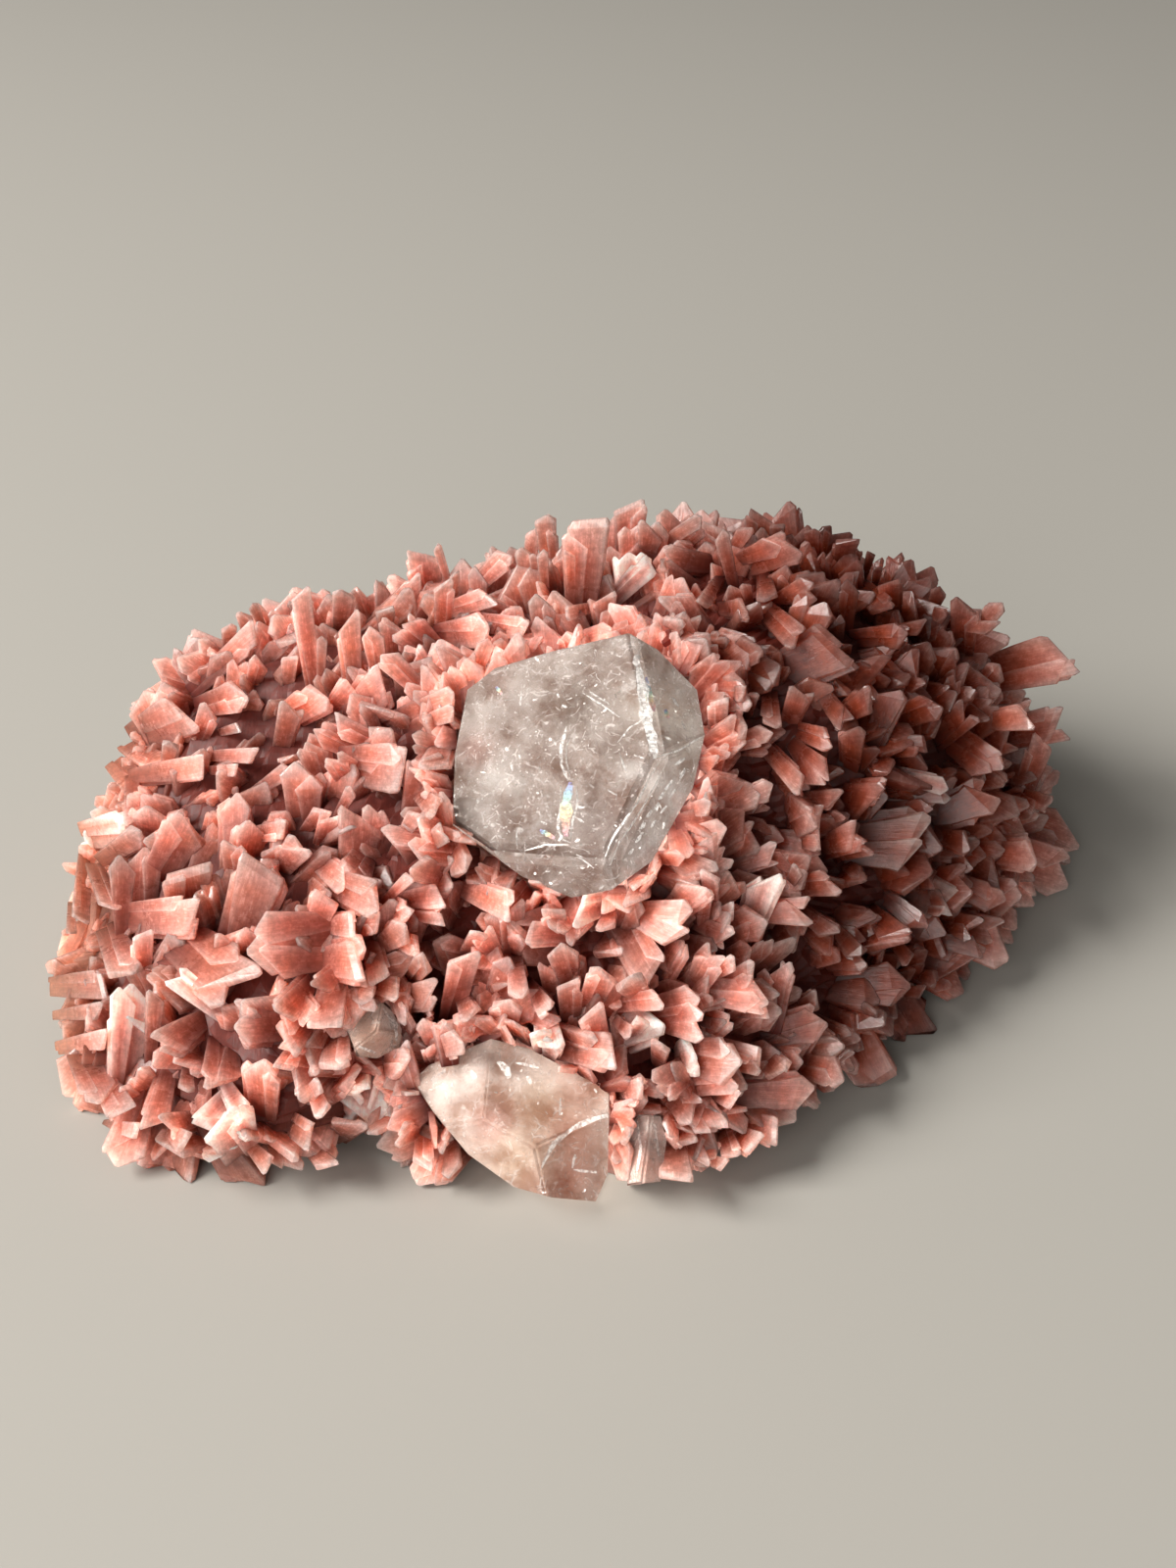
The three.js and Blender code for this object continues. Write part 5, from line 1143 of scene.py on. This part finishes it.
# White threads: path on the sheet, width and depth under the face
THREADS = {
    LARGE: [
        ([(-2.2, 5.9), (-2.5, 4.8), (-2.8, 3.5), (-2.7, 2.0), (-2.1, 0.3)], 0.35, 0.59),
        ([(-1.9, 5.2), (-2.2, 3.6), (-2.2, 2.2), (-1.8, 0.6)], 0.19, 0.68),
        ([(-2.8, 0.0), (-2.8, -2.0), (-3.1, -4.5), (-2.6, -5.7), (-1.7, -6.0)], 0.26, 0.64),
        ([(-1.2, -0.2), (-1.1, -2.0), (-1.6, -4.0), (-1.8, -5.9)], 0.22, 0.64),
        ([(-0.5, 9.3), (2.1, 7.6), (3.2, 6.8)], 0.19, 0.5), ([(0.2, 9.4), (2.2, 8.1)], 0.16, 0.64),
        ([(5.5, 6.5), (4.2, 5.7), (3.0, 4.2)], 0.19, 0.46), ([(3.2, 3.2), (3.9, 1.2)], 0.19, 0.7),
        ([(4.7, 3.0), (5.7, 2.6)], 0.19, 0.41), ([(2.0, -0.6), (3.0, -1.2)], 0.19, 0.55),
        ([(-1.2, -2.4), (-0.3, -2.4)], 0.26, 0.5), ([(-1.3, -3.4), (-0.4, -3.9)], 0.22, 0.5),
        ([(-4.8, -3.8), (-4.2, -4.1)], 0.26, 0.5), ([(-7.3, -4.8), (-7.2, -6.3)], 0.19, 0.5),
        ([(-7.9, 2.2), (-7.7, 1.3)], 0.19, 0.41), ([(-6.8, 9.5), (-6.9, 8.0)], 0.22, 0.46),
        ([(7.9, -0.6), (8.6, 0.4)], 0.4, 0.3), ([(7.2, -1.6), (7.8, -0.8)], 0.35, 0.3),
        ([(6.8, -2.6), (7.3, -1.9)], 0.4, 0.3), ([(8.4, -1.4), (8.9, -0.5)], 0.3, 0.3),
        ([(6.0, -3.4), (6.5, -2.7)], 0.4, 0.3), ([(7.4, -3.0), (8.0, -2.2)], 0.3, 0.3),
        ([(5.4, -4.6), (5.8, -3.9)], 0.35, 0.3), ([(6.4, -4.4), (6.9, -3.7)], 0.3, 0.3),
        ([(4.9, -6.0), (5.4, -5.2)], 0.35, 0.3), ([(9.4, 0.6), (9.9, 1.6)], 0.35, 0.3),
        ([(8.8, 2.0), (10.0, 2.6)], 0.3, 0.3), ([(8.6, 8.8), (9.2, 7.9)], 0.3, 0.3),
        ([(9.6, 6.4), (9.9, 5.6)], 0.3, 0.3), ([(4.2, -7.2), (4.6, -6.6)], 0.3, 0.3),
        ([(-6.5, -6.8), (-4.3, -6.2), (-2.0, -6.2)], 0.22, 0.41), ([(-1.2, -7.2), (0.6, -8.6)], 0.16, 0.41),
    ],
    # Among the front crystal's threads, the strip along its lower-left edge and the short bright veins near
    # its top are painted highlights
    FRONT: [
        ([(4.0, -33.3), (1.0, -34.0), (-1.6, -35.2), (-3.5, -36.7), (-4.9, -39.5)], 0.5, 0.28),
        ([(-2.8, -32.0), (-2.9, -33.8)], 0.22, 0.32), ([(-1.5, -39.4), (0.9, -39.6)], 0.32, 0.23),
        ([(-1.3, -37.8), (-1.6, -39.2)], 0.26, 0.23), ([(-12.0, -37.6), (-8.2, -40.6)], 0.6, 0.18),
        ([(-9.2, -28.3), (-8.3, -29.2), (-8.0, -30.0)], 0.7, 0.18),
        ([(-6.2, -29.8), (-5.8, -30.6)], 0.4, 0.23),
        ([(-11.9, -29.2), (-11.5, -30.0)], 0.5, 0.18), ([(-7.4, -28.4), (-5.0, -29.0)], 0.32, 0.18),
    ],
    # The side crystal's threads run along its white edges, as painted highlights
    SIDE: [
        ([(5.0, -34.4), (5.4, -37.0), (5.0, -39.5)], 0.32, 0.23), ([(6.8, -34.6), (7.2, -38.0)], 0.26, 0.23),
    ],
    # The small crystal's threads run along its bright edges, as painted highlights
    SMALL: [([(-20.9, -22.9), (-19.6, -24.6), (-19.5, -26.2)], 0.4, 0.14),
            ([(-23.4, -26.8), (-21.6, -27.5)], 0.3, 0.14)],
}
# The same, with painted rainbow colours from one end of the path to the other, for the iridescence
# of a crack as thin as a film
RAINBOWS = {LARGE: [
    ([(-1.9, 0.2), (-2.0, -0.9), (-2.2, -2.2), (-2.3, -4.0), (-2.2, -5.4)], 1.0, 0.75),
    ([(-9.4, 9.9), (-8.8, 9.2)], 0.4, 0.5), ([(7.9, 7.6), (8.2, 6.7)], 0.5, 0.5),
    ([(-4.9, -4.7), (-4.2, -5.1), (-3.4, -5.5)], 0.5, 0.6), ([(5.9, 10.9), (6.3, 8.9), (6.7, 7.4)], 0.7, 0.3),
]}
# Painted highlights on the bright edges of the crystal, as white lines close under its faces: path,
# width and depth
EDGE_HIGHLIGHT_LINES = {LARGE: [
    ([(4.9, 13.2), (5.2, 11.0), (5.6, 9.0), (6.1, 6.5), (6.6, 4.0), (6.9, 2.6)], 1.2, 0.15),
    ([(7.2, 2.2), (6.2, 0.4), (5.0, -2.0), (4.0, -3.4), (2.5, -5.5), (1.6, -7.9)], 0.22, 0.15),
    ([(7.9, 1.9), (6.9, 0.0), (5.7, -2.2), (4.7, -3.8), (3.2, -6.0), (2.2, -8.3)], 0.2, 0.15),
    ([(6.9, 2.7), (9.2, 3.4), (11.6, 4.8)], 0.2, 0.15),
]}
FLECK_COUNTS = {LARGE: 420, FRONT: 120, SIDE: 40, SMALL: 30}


class Threads:
    """Narrow strips and flecks inside a clear crystal, gathered into one mesh."""

    def __init__(self):
        self.points = []
        self.faces = []
        self.hues = []

    def strip(self, number, path, width, depth, rainbow, random):
        steps = []
        for (across, up), (next_across, next_up) in zip(path, path[1:]):
            for share in (0, 0.34, 0.67):
                steps.append((across + (next_across - across) * share, up + (next_up - up) * share))
        steps.append(path[-1])
        first = len(self.points)
        outside = []
        for step, (across, up) in enumerate(steps):
            before = np.array(steps[max(step - 1, 0)])
            after = np.array(steps[min(step + 1, len(steps) - 1)])
            side = unit(np.array([-(after - before)[1], (after - before)[0]]))
            end = np.sin(np.pi * (step + 0.35) / (len(steps) - 0.3)) ** 0.5
            reach = 0.5 * width * end * random.uniform(0.7, 1.3)
            shift = random.uniform(-0.35, 0.35) * width * 0.4
            for turn in (-1, 1):
                spot = np.array([across, up]) + side * (turn * reach + shift)
                start, inward = front_of(number, *spot)
                place = start + inward * depth * (1 + 0.15 * turn)
                self.points.append(place)
                outside.append(depth_in_crystals(place[None])[0] < LEAST_COVER)
                self.hues.append(step / (len(steps) - 1) if rainbow else -1.0)
            if step and not any(outside[-4:]):
                low = first + 2 * step - 2
                self.faces.append([low, low + 1, low + 3, low + 2])

    def fleck(self, place, size, random):
        first = len(self.points)
        across = unit(random.standard_normal(3))
        along = unit(np.cross(across, random.standard_normal(3)))
        long = random.uniform(1.0, 2.4)
        for angle in np.arange(FLECK_CORNERS) * 2 * np.pi / FLECK_CORNERS:
            reach = size * random.uniform(0.35, 0.65)
            self.points.append(place + reach * (np.cos(angle) * across + long * np.sin(angle) * along))
            self.hues.append(-1.0)
        self.faces.append(list(range(first, first + FLECK_CORNERS)))


fracture_and_highlight, tree, shader = new_material("apophyllite fractures and highlights")
hue = put(tree, "ShaderNodeAttribute", attribute_name="hue").outputs["Fac"]
# Painted rainbow colours, which stand for the iridescent reflection of thin cracks
film = put(tree, "ShaderNodeValToRGB", {"Fac": hue})
for place, code in [(0.2, "#7fb8e8"), (0.4, "#9be0cf"), (0.58, "#f2e39a"), (0.75, "#f3a98a")]:
    film.color_ramp.elements.new(place).color = tone_of(code)
film.color_ramp.elements[0].color = tone_of("#8f7fe0")
film.color_ramp.elements[-1].color = tone_of("#f0a0c0")
rainbow = calc(tree, "GREATER_THAN", hue, -0.5)
where = put(tree, "ShaderNodeTexCoord").outputs["Object"]
broken = noise(tree, where, 2600.0, 3.0, 0.6)
color = blend_colors(tree, times(tree, rainbow, 0.75), tone_of("#fbfaf9"), film.outputs["Color"])
covered = spread(tree, broken, 0.38, 0.6, 0.25, 1.0)
feed(tree, shader, {"Base Color": color, "Alpha": covered, "Roughness": 0.2})

for number, node in enumerate(CLEAR_NODES):
    random = np.random.default_rng(FLECK_SEED + number)
    threads = Threads()
    for path, width, depth in THREADS[number] + EDGE_HIGHLIGHT_LINES.get(number, []):
        threads.strip(number, path, width, depth, False, random)
    for path, width, depth in RAINBOWS.get(number, []):
        threads.strip(number, path, width, depth, True, random)
    corners = np.array([vertex.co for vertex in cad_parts[node].data.vertices]) / MM
    low, high = corners.min(0), corners.max(0)
    made = 0
    while made < FLECK_COUNTS[number]:
        place = random.uniform(low, high)
        normals, reach = clear_faces[number]
        depth = (reach - normals @ place).min()
        if FACE_GAP < depth < DEEPEST_FLECK:
            threads.fleck(place, random.uniform(0.1, 0.4) * random.uniform(0.6, 1.2), random)
            made += 1
    piece = new_piece(node + "_fractures_and_highlights", threads.points, threads.faces, fracture_and_highlight)
    store(piece, "hue", "FLOAT", "value", threads.hues)

# The floor, the lights and the camera
# A plain pale surface, soft light from the left and the front, and a camera at the eye that the
# places on the sheet were read from. None of it belongs to the object.
FLOOR_REACH = 4
SKY_STRENGTH = 0.16
LENS = 41.92
SENSOR_WIDTH = 36.0
AIM = np.array([0, 0, 0.02])

floor_corners = [(x * FLOOR_REACH, y * FLOOR_REACH, 0) for x, y in [(-1, -1), (1, -1), (1, 1), (-1, 1)]]
floor_mesh = bpy.data.meshes.new("floor")
floor_mesh.from_pydata(floor_corners, [], [(0, 1, 2, 3)])
floor = in_scene("floor", floor_mesh)
floor_material, tree, shader = new_material("floor")
feed(tree, shader, {"Base Color": tone_of("#b0ada6"), "Roughness": 0.7})
floor_mesh.materials.append(floor_material)

world = bpy.data.worlds.new("studio")
world.use_nodes = True
background = world.node_tree.nodes["Background"]
feed(world.node_tree, background, {"Color": tone_of("#efece6"), "Strength": SKY_STRENGTH})
bpy.context.scene.world = world
bpy.context.scene.view_settings.view_transform = "Standard"


def soft_light(name, place, power, size, color):
    """A square studio light aimed at the middle of the cluster."""
    lamp = bpy.data.lights.new(name, "AREA")
    lamp.energy = power
    lamp.size = size
    lamp.color = color
    holder = in_scene(name, lamp)
    holder.location = place
    aim = AIM - np.array(place)
    tilt = np.arctan2(np.hypot(aim[0], aim[1]), -aim[2])
    holder.rotation_euler = (tilt, 0, np.arctan2(-aim[0], aim[1]))


soft_light("key", (-0.97, -0.24, 0.85), 25.5, 0.6, (1.0, 0.97, 0.93))
soft_light("fill", (-0.55, -1.15, 0.45), 10.5, 1.0, (1.0, 0.97, 0.94))

camera_data = bpy.data.cameras.new("camera")
camera_data.lens = LENS
camera_data.sensor_width = SENSOR_WIDTH
camera = in_scene("camera", camera_data)
camera.location = EYE * MM
camera.rotation_euler = (np.pi / 2 - PITCH, 0, 0)
camera_data.clip_start = 0.01
bpy.context.scene.camera = camera
